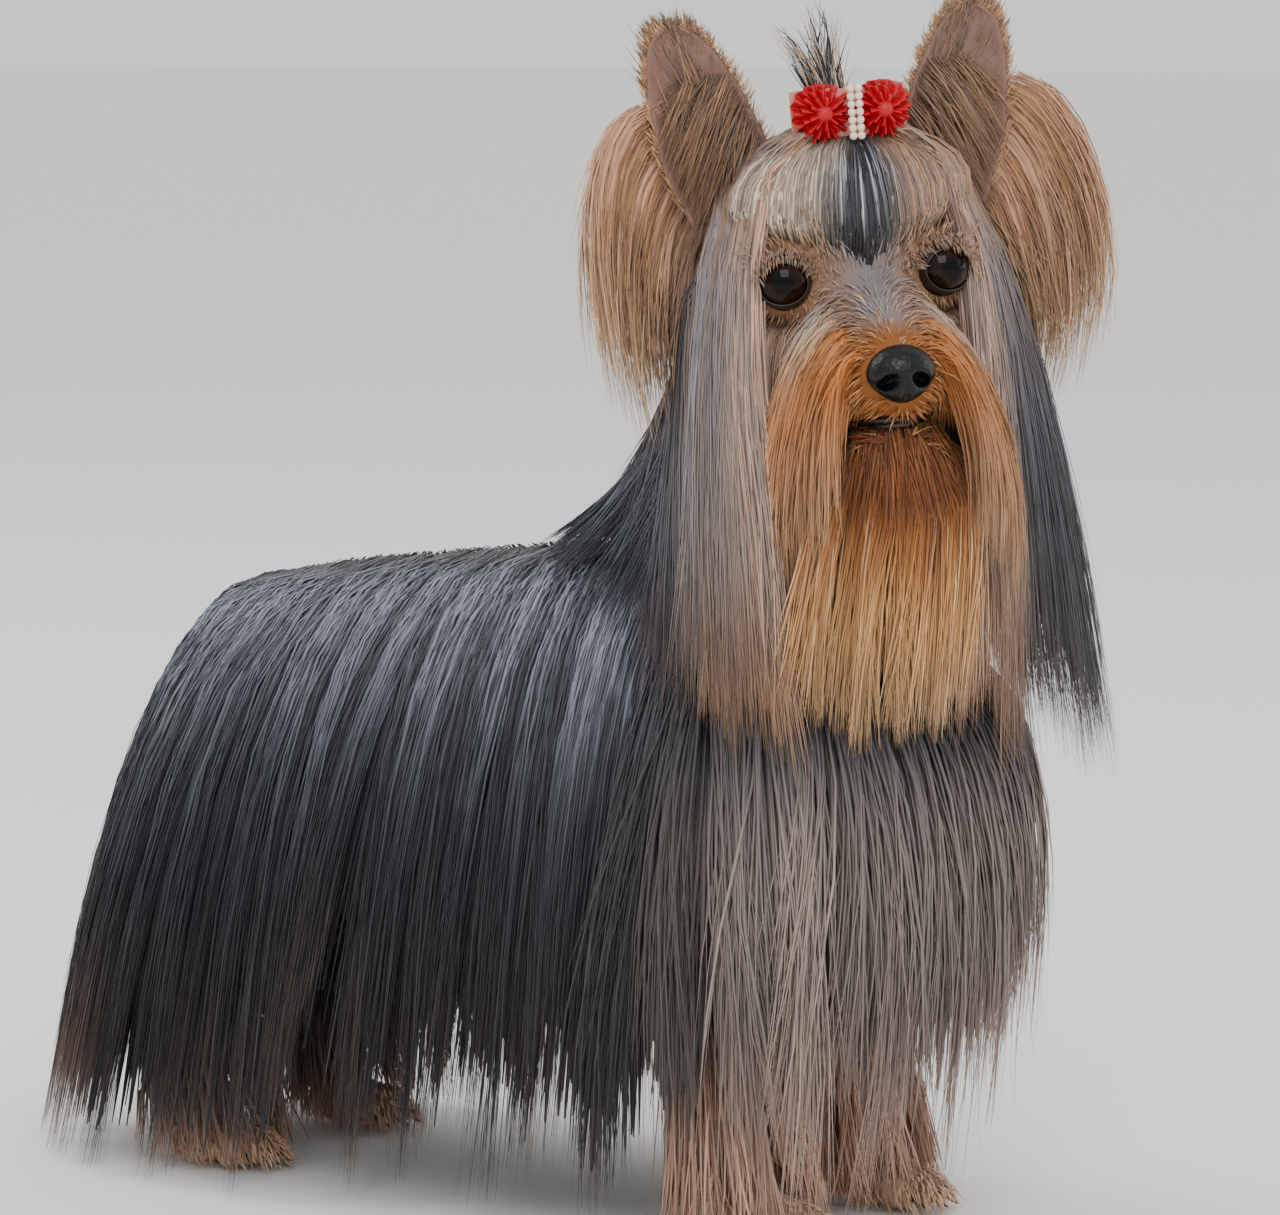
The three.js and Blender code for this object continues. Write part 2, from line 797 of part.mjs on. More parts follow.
function mouthLine() {
  const rows = [
    [-16, -40, -43],
    [-11, -50, -45],
    [0, -55, -45.6],
    [11, -50, -45],
    [16, -40, -43],
  ];
  return limb(
    rows.map(([x, y, z]) => [onHead(x, y, z), 6, 0.8]),
    headDirection(0, -1, 0),
    0,
    6,
  );
}

function nostril(side) {
  return ball(onHead(side * 4.4, -70.5, -32), v3(2.1, 3, 1.7), headSpin, 8, 5);
}

// Nodes, each with its colour, its roughness and a form that can be thickened all over by grow.
// An earlier node keeps its place, and those after it are cut clear of it by the gap.

const plain = false;

function coat(at, middle, tiers, seed, grow, columns = 12, rows = 6, depth = 9, root = 12) {
  if (plain) return [drape(at, columns, rows, depth)];
  return locks(at, facing(at, middle), tiers, seed, grow, root);
}

function torso(side, grow) {
  const tiers = [
    [10, 0.1, 0.97, 0, 27, 6],
    [9, 0.3, 1, 4, 29, 5],
    [7, 0.52, 0.99, 8, 32, 4],
  ];
  const fall = coat(trunkCoat(side), v3(0, 30, 120), tiers, 9 + 2 * side, grow, 22, 7, 9);
  return join([trunk(grow), ...fall])
    .intersect(room("x", side, (side * gap) / 2))
    .intersect(room("y", 1, chestFace + gap / 2));
}

function chest(grow) {
  const tiers = [
    [11, 0.08, 0.96, 0, 23, 6],
    [10, 0.27, 1, 4, 24, 5],
  ];
  return join([trunk(grow), ...coat(chestCoat, v3(0, -62, 120), tiers, 21, grow, 18, 7, 9, 22)]).intersect(
    room("y", -1, chestFace - gap / 2),
  );
}

function head(grow) {
  const hair = [
    ...coat(forehead, onHead(0, 0, 0), [[6, 0, 1, 0, 12, 5]], 51, grow, 10, 5, 5),
    ...[-1, 1].flatMap((side) =>
      coat(moustache(side), onHead(0, -20, -40), [[3, 0.05, 1, 0, 13, 5]], 53, grow, 6, 6, 5),
    ),
  ];
  const made = join([skull(grow), ...lids(), ...hair]);
  return [lidOpening(-1), lidOpening(1), mouthLine()].reduce((a, b) => a.subtract(b), made);
}

const nodes = [];
const node = (name, colour, roughness, form) => nodes.push({ name, colour, roughness, form });

const sides = [
  ["right", -1],
  ["left", 1],
];
for (const [name, side] of sides) {
  node("eye_" + name, colours.eye, 0.05, (grow) => ballOf(eyePlace(side), eyeRadius + grow, headSpin, 12, 8));
}
node("nose", colours.black, 0.3, (grow) =>
  ball(nosePlace, noseRadii.clone().addScalar(grow), headSpin, 14, 9).subtract(nostril(-1)).subtract(nostril(1)),
);
for (const [name, side] of sides) node("bow_" + name, colours.red, 0.6, (grow) => rosette(side, grow));
node("bow_centre", colours.pearl, 0.3, (grow) =>
  block(v3(bowPlace.x, bowPlace.y + 1, bowPlace.z), v3(3.4 + grow, 9 + grow, 13 + grow)),
);
node("head", colours.gold, 0.65, head);
for (const [name, side] of sides) {
  node("ear_" + name, colours.gold, 0.7, (grow) =>
    join([
      earSolid(side, grow).subtract(earCup(side)),
      ...coat(fringe(side), onHead(0, 0, 0), [[5, 0.02, 1, 0, 13, 5], [3, 0.04, 0.94, 8, 16, 3]], side + 61, grow, 8, 6, 6),
    ]),
  );
}
node("neck", colours.blue, 0.6, (grow) =>
  join([neck(grow), ...coat(mane, v3(0, -80, 220), [[9, 0.08, 0.98, 0, 20, 4]], 31, grow, 12, 5, 7)]),
);
node("beard", colours.orange, 0.65, (grow) =>
  join(coat(beard, onHead(0, -20, -60), [[7, 0.02, 1, 0, 13, 6]], 71, grow, 8, 7, 8)),
);
for (const [name, at, seed] of [
  ["right", fallRight, 81],
  ["left", fallLeft, 87],
]) {
  node("fall_" + name, colours.greyTan, 0.6, (grow) => join(coat(at, skullPlace, [[11, 0.02, 1, 0, 17, 5]], seed, grow, 12, 7, 7)));
}
node("tail", colours.blue, 0.6, tail);
for (const [name, side] of sides) node("torso_" + name, colours.blue, 0.55, (grow) => torso(side, grow));
node("chest", colours.greyTan, 0.6, chest);
for (const [name, side] of sides) {
  for (const kind of ["front", "hind"]) {
    const middle = v3(side * 32, kind === "front" ? -80 : 98, 50);
    node("leg_" + kind + "_" + name, colours.tan, 0.7, (grow) =>
      join([leg(kind, side, grow), ...coat(feather(kind, side), middle, [[6, 0.04, 0.98, 0, 15, 4]], 43, grow, 12, 5, 5)]),
    );
  }
}
node("topknot", colours.blue, 0.6, (grow) => join(coat(topknot, onHead(2, -5, 60), [[6, 0, 1, 0, 8, 4]], 91, grow, 12, 5, 4)));

function apart(a, b) {
  const [first, second] = [a.boundingBox(), b.boundingBox()];
  return [0, 1, 2].some((k) => first.min[k] > second.max[k] || second.min[k] > first.max[k]);
}

const kept = [];
for (const { name, colour, roughness, form } of nodes) {
  const made = largest(kept.reduce((rest, other) => (apart(rest, other) ? rest : rest.subtract(other)), form(0)));
  place(name, colour, roughness, made);
  kept.push(form(gap), made);
}

// The middle of the whole's footprint stands over the origin.
const whole = new THREE.Box3().setFromObject(dog);
const middle = whole.getCenter(v3(0, 0, 0));
dog.position.set(-Math.round(middle.x), -Math.round(middle.y), 0);

export default dog;
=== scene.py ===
"""A Yorkshire terrier in full show coat, standing with its head turned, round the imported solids.

The flesh is one skin of joined primitives. The coat is thin tapered locks of solid hair set over it along
the coat's lie, in the same falls as the solids: from the parting on the spine, from the head and the chest.
Lengths are in millimetres until a piece is placed, and the dog faces -Y.
"""

import json
import math

import bpy
import numpy as np
from mathutils import Euler, Matrix, Vector

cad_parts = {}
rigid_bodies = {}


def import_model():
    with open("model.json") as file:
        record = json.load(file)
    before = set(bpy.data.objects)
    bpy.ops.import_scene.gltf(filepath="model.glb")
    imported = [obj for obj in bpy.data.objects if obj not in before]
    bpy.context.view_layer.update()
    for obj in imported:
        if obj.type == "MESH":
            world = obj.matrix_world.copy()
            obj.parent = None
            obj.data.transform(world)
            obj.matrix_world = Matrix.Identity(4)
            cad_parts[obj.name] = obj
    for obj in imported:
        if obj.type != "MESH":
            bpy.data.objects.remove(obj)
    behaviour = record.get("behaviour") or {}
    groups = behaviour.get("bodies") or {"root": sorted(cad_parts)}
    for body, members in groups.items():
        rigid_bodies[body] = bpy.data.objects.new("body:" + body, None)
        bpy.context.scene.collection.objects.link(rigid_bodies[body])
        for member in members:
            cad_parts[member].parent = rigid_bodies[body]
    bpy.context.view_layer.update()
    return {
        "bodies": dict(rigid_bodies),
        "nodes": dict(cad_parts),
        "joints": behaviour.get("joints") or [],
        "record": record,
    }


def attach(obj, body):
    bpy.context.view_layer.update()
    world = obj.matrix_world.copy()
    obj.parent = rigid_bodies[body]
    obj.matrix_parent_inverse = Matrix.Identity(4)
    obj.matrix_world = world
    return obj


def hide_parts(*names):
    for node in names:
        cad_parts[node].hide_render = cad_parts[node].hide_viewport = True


MILLIMETRE = 0.001
STANDING = np.array([0.0, -8.0, 0.0])
FLOOR_CLEAR = 2.0

# Head
SKULL_PLACE = np.array([-2.0, -97.5, 281.5])
HEAD_TURN = math.radians(-45)
HEAD_ROLL = math.radians(-4.5)
SKULL_RADII = np.array([33.0, 36.0, 29.0])
EYE_RADIUS = 8.0
EYE_PLACE = np.array([22.5, -23.5, -6.0])
NOSE_PLACE = np.array([0.0, -61.0, -31.0])
BOW = np.array([3.0, -13.0, 39.0])

# Trunk coat
SHOULDER = np.array([0.0, -62.0])
BACK_LINE = ([-60, -20, 40, 76, 101], [197, 195, 188, 183, 178])
PARTING = (-58.0, 103.0)
HEM_HALF_WIDTH = 71.0
HEM_FRONT, HEM_REAR = -60.0, 76.0
HEM_REAR_REACH = 100.0
HEM_SQUARENESS = 2.7
STRAIGHT_SHARE = 0.53
NOTCH_PLACE, NOTCH_WIDTH, NOTCH_HEIGHT = 0.42, 0.035, 36.0

# Rest of the head's hair round the shoulders: bearing, radius
HEAD_FALL = (
    [-166, -120, -96, -78, -60, -46, -10, 12, 34, 62, 96, 120, 166],
    [36, 40, 46, 60, 67, 70, 83, 91, 108, 86, 50, 40, 36],
)

random = np.random.default_rng(7)


def linear(hex_colour):
    """An sRGB hex colour as linear numbers."""
    parts = [int(hex_colour[i : i + 2], 16) / 255 for i in (1, 3, 5)]
    return np.array([p / 12.92 if p <= 0.04045 else ((p + 0.055) / 1.055) ** 2.4 for p in parts])


# Colours of the hair
STEEL = linear("#3a3c45")
STEEL_DARK = linear("#202127")
SILVER = linear("#7e828f")
BACK_GREY = linear("#5d5c5e")
HEM_BROWN = linear("#6e5b50")
TAUPE = linear("#8c7c74")
TAUPE_DARK = linear("#4d494b")
TAUPE_PALE = linear("#b19d90")
TAN = linear("#b98a64")
GOLD = linear("#cfa479")
GOLD_PALE = linear("#e2c19a")
CREAM = linear("#d3c0a6")
RUST = linear("#6b3615")
ORANGE = linear("#a9652c")
ORANGE_PALE = linear("#d8a468")
PEACH = linear("#c69c86")
CHARCOAL = linear("#34343a")
LAVENDER = linear("#a39a9c")
WHITE_HAIR = linear("#e4e0da")


def lerp(a, b, t):
    return a + (b - a) * t


def smoothstep(x, low, high):
    t = np.clip((x - low) / (high - low), 0, 1)
    return t * t * (3 - 2 * t)


def vector(x, y, z):
    return np.stack(np.broadcast_arrays(x, y, z), axis=-1).astype(float)


def unit(v):
    return v / np.maximum(np.linalg.norm(v, axis=-1, keepdims=True), 1e-9)


HEAD_MATRIX = np.array(Euler((0, HEAD_ROLL, HEAD_TURN), "XYZ").to_matrix())


def head_direction(x, y, z):
    return vector(x, y, z) @ HEAD_MATRIX.T


def on_head(x, y, z):
    return head_direction(x, y, z) + SKULL_PLACE


def round_shoulders(bearing, radius, z):
    angle = np.radians(bearing)
    return vector(SHOULDER[0] + radius * np.sin(angle), SHOULDER[1] - radius * np.cos(angle), z)


def away_from_shoulders(bearing):
    angle = np.radians(bearing)
    return vector(np.sin(angle), -np.cos(angle), 0)


def bezier(a, b, c, d, t):
    t = np.asarray(t)[..., None]
    return a * (1 - t) ** 3 + b * 3 * (1 - t) ** 2 * t + c * 3 * (1 - t) * t * t + d * t**3


def col(v):
    return np.asarray(v)[..., None]


# Falls of the coat. Each is a surface at(s, t, inward): s across it, t from root to hem, inward its depth.


def hem_plan(s):
    angle = (s - STRAIGHT_SHARE) / (1 - STRAIGHT_SHARE) * math.pi / 2
    power = 2 / HEM_SQUARENESS
    straight = s < STRAIGHT_SHARE
    turned = np.clip(angle, 0, math.pi / 2)
    x = np.where(straight, HEM_HALF_WIDTH, HEM_HALF_WIDTH * np.maximum(np.cos(turned), 0) ** power)
    y = np.where(
        straight,
        lerp(HEM_FRONT, HEM_REAR, s / STRAIGHT_SHARE),
        HEM_REAR + HEM_REAR_REACH * np.sin(turned) ** power,
    )
    return x, y


def hem_height(s):
    sweep = lerp(19, 2.5, smoothstep(s, NOTCH_PLACE, NOTCH_PLACE + 0.15))
    return sweep + NOTCH_HEIGHT * np.exp(-(((s - NOTCH_PLACE) / NOTCH_WIDTH) ** 2))


def trunk_coat(side):
    def at(s, t, inward):
        hem_x, hem_y = hem_plan(s)
        from_y = lerp(*PARTING, np.minimum(1, s * 1.15))
        top = np.interp(from_y, *BACK_LINE) + 1.0
        rear = smoothstep(s, STRAIGHT_SHARE, 1)
        one = 3 * (1 - t) ** 2 * t
        two = 3 * (1 - t) * t * t
        end = t**3
        out = one * lerp(0.56, 0.36, rear) + two * lerp(0.8, 0.74, rear) + end
        down = two * 54 + end * (top - hem_height(s))
        slope = smoothstep(t, 0, 0.45)
        away = unit(vector(side * hem_x, hem_y - from_y, 0))
        place = vector(side * hem_x * out, lerp(from_y, hem_y, out), top - down)
        return place - away * col(inward * slope) - np.array([0, 0, 1.0]) * col(inward * (1 - slope))

    return at


def chest_coat(s, t, inward):
    bearing = lerp(-93, 93, s)
    radius = np.interp(bearing, [-90, -34, 0, 34, 90], [69, 81, 80, 84, 69])
    under = np.maximum(np.interp(bearing, *HEAD_FALL) - 14, 38)
    hem = np.interp(bearing, [-90, -50, 0, 34, 90], [17, 27, 36, 54, 26])
    place = bezier(
        round_shoulders(bearing, 33, 180),
        round_shoulders(bearing, under, 166),
        round_shoulders(bearing, radius + 10, 122),
        round_shoulders(bearing, radius - 1, hem),
        t,
    )
    away = away_from_shoulders(bearing)
    place = place - away * col(inward * smoothstep(t, 0, 0.4))
    return place - np.array([0, 0, 1.0]) * col(inward * (1 - t) ** 2)


def mane(s, t, inward):
    bearing = lerp(90, 270, s)
    aside = np.abs(s - 0.5) * 2
    place = bezier(
        round_shoulders(bearing, 21, 262) + np.array([-3, -26, 0]),
        round_shoulders(bearing, 31, 246) + np.array([-2, -19, 0]),
        round_shoulders(bearing, 29, 213) + np.array([0, -4, 0]),
        round_shoulders(bearing, lerp(62, 50, aside), lerp(197, 176, aside)),
        t,
    )
    return place - away_from_shoulders(bearing) * col(inward)


def head_fall(turns, roots, bearings, hems, spread, flare):
    def at(s, t, inward):
        turn = np.radians(lerp(*turns, s))
        height = np.interp(s, *roots)
        shrink = np.sqrt(np.maximum(0.1, 1 - (height / (SKULL_RADII[2] + 3)) ** 2))
        outward = head_direction(np.sin(turn), -np.cos(turn), 0)
        root = on_head(
            (SKULL_RADII[0] + 2) * shrink * np.sin(turn),
            3 - (SKULL_RADII[1] + 2) * shrink * np.cos(turn),
            height,
        )
        bearing = np.interp(s, *bearings)
        hem = round_shoulders(bearing, np.interp(bearing, *HEAD_FALL), np.interp(s, *hems))
        share = col(lerp(flare, 0.55, s))
        low = lerp(hem, root, share)
        low[..., 2] = lerp(hem[..., 2], root[..., 2], 0.45)
        high = root + outward * col(lerp(spread, 7, s)) - np.array([0, 0, 6.0])
        place = bezier(root, high, low, hem, t)
        return place - outward * col(inward * (1 - t)) - away_from_shoulders(bearing) * col(inward * t)

    return at


FALL_ROOTS = ([0, 0.15, 0.3, 1], [-14, -3, 3, 12])
fall_right = head_fall(
    (-50, -176),
    FALL_ROOTS,
    ([0, 0.5, 1], [-43, -80, -168]),
    ([0, 0.5, 0.68, 1], [151, 158, 196, 212]),
    20,
    0.15,
)
fall_left = head_fall(
    (50, 176),
    FALL_ROOTS,
    ([0, 0.5, 1], [-10, 54, 168]),
    ([0, 0.3, 0.5, 0.68, 1], [150, 141, 150, 194, 212]),
    22,
    0.38,
)


def temple(side, fall):
    """Hair from beside the bow, out over the temple and down along the fall."""

    def at(s, t, inward):
        end = fall(s * 0.4, np.ones_like(t), inward)
        root = on_head(side * lerp(11, 24, s) + 2, lerp(-13, 4, s), lerp(34, 27, s))
        high = on_head(side * lerp(39, 47, s) + 1, lerp(-25, 0, s), lerp(34, 24, s))
        low = end.copy()
        low[..., 2] = lerp(end[..., 2], root[..., 2], 0.42)
        low = lerp(low, on_head(side * 45, -17, -50), 0.45)
        outward = unit(head_direction(side * 0.8, -0.6, 0))
        return bezier(root, high, low, end, t) - outward * col(inward * (1 - t))

    return at


def crown(s, t, inward):
    """Hair from behind the bow, over the back of the skull to the nape."""
    turn = np.radians(lerp(62, 298, s))
    x, y = np.sin(turn), -np.cos(turn)
    outward = head_direction(x, y, 0)
    place = bezier(
        on_head(2 + 6 * x, -8 + 6 * y, 33),
        on_head(2 + 26 * x, -3 + 28 * y, 39),
        on_head(41 * x, 3 + 44 * y, 20),
        on_head(42 * x, 5 + 46 * y, -44),
        t,
    )
    return place - outward * col(inward)


def beard(s, t, inward):
    across = lerp(-1, 1, s)
    bearing = lerp(-46, -4, s)
    away = away_from_shoulders(bearing)
    root = on_head(across * 15, -50 + 10 * across**2, -48)
    hem = round_shoulders(bearing, np.interp(bearing, *HEAD_FALL), 152 + 5 * across**2)
    high = root + away * 10 + head_direction(across * 8, 0, -10)
    low = lerp(hem, root, 0.1) + away * 3
    low[..., 2] = lerp(hem[..., 2], root[..., 2], 0.5)
    return bezier(root, high, low, hem, t) - away * col(inward)


def moustache(side):
    """Hair from the bridge and the upper lip, out to the side and down past the mouth."""

    def at(s, t, inward):
        root = on_head(side * lerp(8, 3, s), lerp(-55, -31, s), lerp(-26, -11, s))
        hem = on_head(side * lerp(21, 36, s), lerp(-54, -30, s), lerp(-80, -108, s))
        sideways = head_direction(side, 0, 0)
        outward = unit(head_direction(side, -0.7, 0.1))
        high = root + sideways * col(lerp(9, 22, s)) + head_direction(0, -3, 3)
        low = hem + sideways * col(lerp(3, 7, s)) + head_direction(0, -3, 0)
        low[..., 2] = lerp(hem[..., 2], root[..., 2], 0.5)
        return bezier(root, high, low, hem, t) - outward * col(inward)

    return at


def cheek(side):
    def at(s, t, inward):
        turn = np.radians(side * lerp(30, 80, s))
        height = lerp(-17, -11, s)
        shrink = np.sqrt(1 - (height / SKULL_RADII[2]) ** 2)
        root = on_head(
            SKULL_RADII[0] * shrink * np.sin(turn),
            3 - SKULL_RADII[1] * shrink * np.cos(turn) - lerp(4, 0, s),
            height,
        )
        outward = head_direction(np.sin(turn), -np.cos(turn), 0)
        hem = on_head(side * lerp(29, 45, s), lerp(-36, -14, s), lerp(-112, -124, s))
        low = lerp(hem, root, 0.2) + outward * 6
        low[..., 2] = lerp(hem[..., 2], root[..., 2], 0.5)
        high = root + outward * 10 + np.array([0, 0, -8.0])
        return bezier(root, high, low, hem, t) - outward * col(inward)

    return at


def forehead(s, t, inward):
    """The dome of hair swept up from the brows into the bow."""
    across = lerp(-1, 1, s)
    edge = across**2
    root = on_head(across * 32, -33 + 21 * edge, -7 + 12 * np.abs(across) ** 0.7)
    tip = on_head(BOW[0] + across * 13, -10 + 3 * edge, 33)
    outward = unit(head_direction(across * 0.6, -1, 0.1))
    up = head_direction(0, 0, 1)
    high = root + head_direction(across * 9, -6.5 + 3 * edge, 14)
    low = tip + head_direction(across * 18, -10 + 3 * edge, -3)
    return bezier(root, high, low, tip, t) - outward * col(inward * (1 - t)) - up * col(inward * t)


def topknot(s, t, inward):
    """A small puff behind the bow, and the spray that rises out of it."""
    angle = lerp(-math.pi, math.pi, s)
    lean = vector(np.sin(angle), -np.cos(angle), 0)
    foot = np.array([BOW[0] - 2, -4, 34.0])
    reach = np.interp(t, [0, 0.12, 0.3, 0.6, 1], [4, 8.5, 4, 6, 13]) - 0.5 * inward
    rise = np.interp(t, [0, 1], [0, 44]) - 9 * t * np.abs(lean[..., 0])
    place = foot + lean * col(reach) + vector(-9 * t, 2 * t, rise)
    return on_head(place[..., 0], place[..., 1], place[..., 2])


def fringe(side):
    def at(s, t, inward):
        root = on_head(side * lerp(52, 34, s), lerp(1, 8, s), lerp(46, 0, s))
        hem = on_head(side * lerp(68, 38, s), lerp(-2, 13, s), lerp(-42, -62, s))
        outward = unit(head_direction(side, lerp(-0.2, 0.7, s), 0))
        low = hem + outward * col(lerp(15, 6, s))
        low[..., 2] = lerp(hem[..., 2], root[..., 2], 0.52)
        high = root + outward * col(lerp(18, 10, s))
        return bezier(root, high, low, hem, t) - outward * col(inward)

    return at


# Legs from top to foot: x, y, z, half width, half depth
LEGS = {
    "front": [
        (29, -76, 119, 11, 16),
        (31, -73, 98, 10, 13),
        (31, -76, 70, 8, 9),
        (31, -81, 40, 7.5, 8),
        (31, -85, 20, 8, 8.5),
        (31, -88, 7, 9, 10),
    ],
    "hind": [
        (28, 82, 124, 12, 21),
        (31, 80, 108, 12, 19),
        (33, 82, 85, 9.5, 15),
        (33, 103, 62, 7.5, 10),
        (33, 113, 46, 7, 8.5),
        (33, 111, 22, 7.5, 8),
        (33, 108, 7, 9, 10),
    ],
}
LEG_NODES = ["leg_front_right", "leg_front_left", "leg_hind_right", "leg_hind_left"]
TOES = [(-8, -14), (-2.8, -18), (2.8, -18), (8, -14)]


def feather(kind, side):
    high, foot = (104, -82) if kind == "front" else (96, 106)
    rows = sorted((row[2], row[1]) for row in LEGS[kind])
    heights = [row[0] for row in rows]
    line = [row[1] for row in rows]

    def at(s, t, inward):
        angle = lerp(-2.75, 2.75, s) + math.pi
        away = vector(np.sin(angle), -np.cos(angle), 0)
        z = lerp(high, 3, t)
        centre = lerp(np.interp(z, heights, line), foot, 0.5 * t)
        return vector(side * 32, centre, z) + away * col(8 + 14 * t**0.7 - inward)

    return at


# Hair

EXPORT_PATCH = 0.003
TRIANGLES_A_PIECE = 190000


def strands(
    at, count, points, width, tint, roots=(0.0, 0.2), ends=(0.95, 1.04), depth=(0.0, 4.0),
    clumps=30, gather=0.7, wave=0.8, sink=4.0, stray=0.4, drift=0.5, ragged=0.05,
):
    """Locks of one fall. They run from roots to ends along it, gather in clumps, and wave and stray from it.

    Each lock has its points, their outward directions and colours, its width, and the place of its root.
    """
    s = random.random(count)
    which = np.minimum((s * clumps).astype(int), clumps - 1)
    middles = (np.arange(clumps) + random.uniform(0.2, 0.8, clumps)) / clumps
    centre = middles[which]
    clump_draw = random.random(clumps)[which]
    clump_lean = random.normal(0, drift, clumps)[which] / clumps
    clump_wave = random.uniform(0, 2 * math.pi, clumps)[which]
    draw = random.random(count)
    start = random.uniform(*roots, count)
    end = random.uniform(*ends, count) - ragged * random.random(clumps)[which]
    inward = random.uniform(*depth, count)
    u = np.linspace(0, 1, points)[None, :]
    t = lerp(start[:, None], end[:, None], u)
    pull = gather * smoothstep(t, 0.2, 1.05)
    across = s[:, None] + (centre - s)[:, None] * pull + clump_lean[:, None] * t**2
    phase = random.random((count, 2)) * 2 * math.pi
    turns = random.uniform(0.6, 1.6, (count, 1))
    away = random.normal(0, stray, (count, 1)) * u**2
    ripple = wave * 0.5 * np.sin(2 * math.pi * turns * t + phase[:, :1]) * u
    under = np.where(u == 0, sink, 0) + inward[:, None] + ripple - np.abs(away) * 0.8
    across = np.clip(across, 0.001, 0.999)
    place = at(across, t, under)
    outward = at(across, t, under - 1) - place
    side = unit(np.cross(unit(np.gradient(place, axis=1)), unit(outward)))
    sway = wave * (np.sin(2 * math.pi * turns * t + phase[:, 1:]) + np.sin(5 * t + clump_wave[:, None])) * u
    place = place + side * col(sway + away * 3)
    place[..., 2] = np.maximum(place[..., 2], FLOOR_CLEAR)
    colours = tint(across, t, draw[:, None], clump_draw[:, None])
    colours = colours * col(lerp(0.68, 1.35, draw)[:, None] * lerp(0.78, 1.2, clump_draw)[:, None])
    return {
        "place": place,
        "width": width * random.uniform(0.6, 1.35, count),
        "outward": outward,
        "colour": np.clip(colours, 0, 1),
        "root": np.stack([s, np.clip(start, 0, 1)], axis=1),
    }


def comb(root, normal, flow, length, lift, droop, points, width, colour, place_on_skin):
    """Short hair from roots on the skin: it rises along the normal, lies along the flow and droops."""
    u = np.linspace(0, 1, points)[None, :, None]
    length = np.asarray(length)[:, None, None]
    lift = np.reshape(lift, (-1, 1, 1))
    flow = unit(flow + random.normal(0, 0.13, flow.shape))
    place = (
        root[:, None] - normal[:, None] * 1.0 * (u == 0)
        + flow[:, None] * length * u
        + normal[:, None] * lift * np.sin(u * math.pi * 0.6)
        - np.array([0, 0, 1.0]) * droop * length * u**2
    )
    place[..., 2] = np.maximum(place[..., 2], 0.4)
    count = len(root)
    shade = random.uniform(0.7, 1.3, (count, 1, 1))
    return {
        "place": place,
        "width": width * random.uniform(0.6, 1.3, count),
        "outward": np.broadcast_to(normal[:, None], place.shape),
        "colour": np.clip(np.broadcast_to(colour[:, None], place.shape) * shade, 0, 1),
        "root": place_on_skin,
    }


def hair_object(name, locks, material):
    """One mesh of closed three-sided tapering locks, with their colours and a place in the bake map."""
    place, outward = locks["place"], locks["outward"]
    count, points, _ = place.shape
    tangent = unit(np.gradient(place, axis=1))
    side = unit(np.cross(tangent, outward))
    ridge = np.cross(side, tangent)
    roll = random.normal(0, 0.5, (count, 1, 1))
    side, ridge = side * np.cos(roll) + ridge * np.sin(roll), ridge * np.cos(roll) - side * np.sin(roll)
    u = np.linspace(0, 1, points)
    fullness = np.interp(u, [0, 0.15, 0.5, 0.8, 1], [0.7, 1, 0.95, 0.6, 0.08])
    half = (locks["width"][:, None] * fullness[None, :] / 2)[..., None]
    ring = np.stack([place - side * half, place + side * half, place + ridge * half * 0.7], axis=2)
    ring[..., 2] = np.maximum(ring[..., 2], 0.05)
    vertices = (ring + STANDING) * MILLIMETRE
    vertices = vertices.reshape(-1, 3)

    base = np.arange(count)[:, None, None] * points * 3
    step = np.arange(points - 1)[None, :, None] * 3
    near, far = base + step, base + step + 3
    wall_edges = ((0, 1), (1, 2), (2, 0))
    walls = [np.concatenate([near + a, near + b, far + b, far + a], axis=2) for a, b in wall_edges]
    quads = np.stack(walls, axis=2).reshape(-1, 4)
    first = np.arange(count)[:, None] * points * 3
    caps = np.concatenate([first + [0, 2, 1], first + (points - 1) * 3 + [0, 1, 2]])

    mesh = bpy.data.meshes.new(name)
    mesh.vertices.add(len(vertices))
    mesh.vertices.foreach_set("co", vertices.ravel())
    loops = np.concatenate([quads.ravel(), caps.ravel()])
    mesh.loops.add(len(loops))
    mesh.loops.foreach_set("vertex_index", loops.astype(np.int32))
    starts = np.concatenate([np.arange(len(quads)) * 4, len(quads) * 4 + np.arange(len(caps)) * 3])
    totals = np.concatenate([np.full(len(quads), 4), np.full(len(caps), 3)])
    mesh.polygons.add(len(starts))
    mesh.polygons.foreach_set("loop_start", starts.astype(np.int32))
    mesh.polygons.foreach_set("loop_total", totals.astype(np.int32))
    mesh.update(calc_edges=True)
    mesh.validate()
    mesh.shade_smooth()

    colour = np.concatenate([locks["colour"], np.ones((count, points, 1))], axis=2)
    colour = np.repeat(colour[:, :, None], 3, axis=2)
    attribute = mesh.attributes.new("tint", "FLOAT_COLOR", "POINT")
    attribute.data.foreach_set("color", colour.ravel().astype(np.float32))

    corner = np.array([0, 0.5, 1.0])[None, None, :]
    across = 0.01 + 0.98 * locks["root"][:, 0][:, None, None] + (corner - 0.5) * EXPORT_PATCH
    along = 0.01 + 0.98 * locks["root"][:, 1][:, None, None] + u[None, :, None] * EXPORT_PATCH
    chart = np.stack(np.broadcast_arrays(across, along), axis=-1).reshape(-1, 2)
    layer = mesh.uv_layers.new(name="OFBake")
    indices = np.empty(len(mesh.loops), dtype=np.int32)
    mesh.loops.foreach_get("vertex_index", indices)
    layer.data.foreach_set("uv", chart[indices].ravel().astype(np.float32))

    made = bpy.data.objects.new(name, mesh)
    bpy.context.scene.collection.objects.link(made)
    made.data.materials.append(material)
    return made


def merged(parts):
    """Several sets of locks with as many points each, as one."""
    return {key: np.concatenate([part[key] for part in parts]) for key in parts[0]}


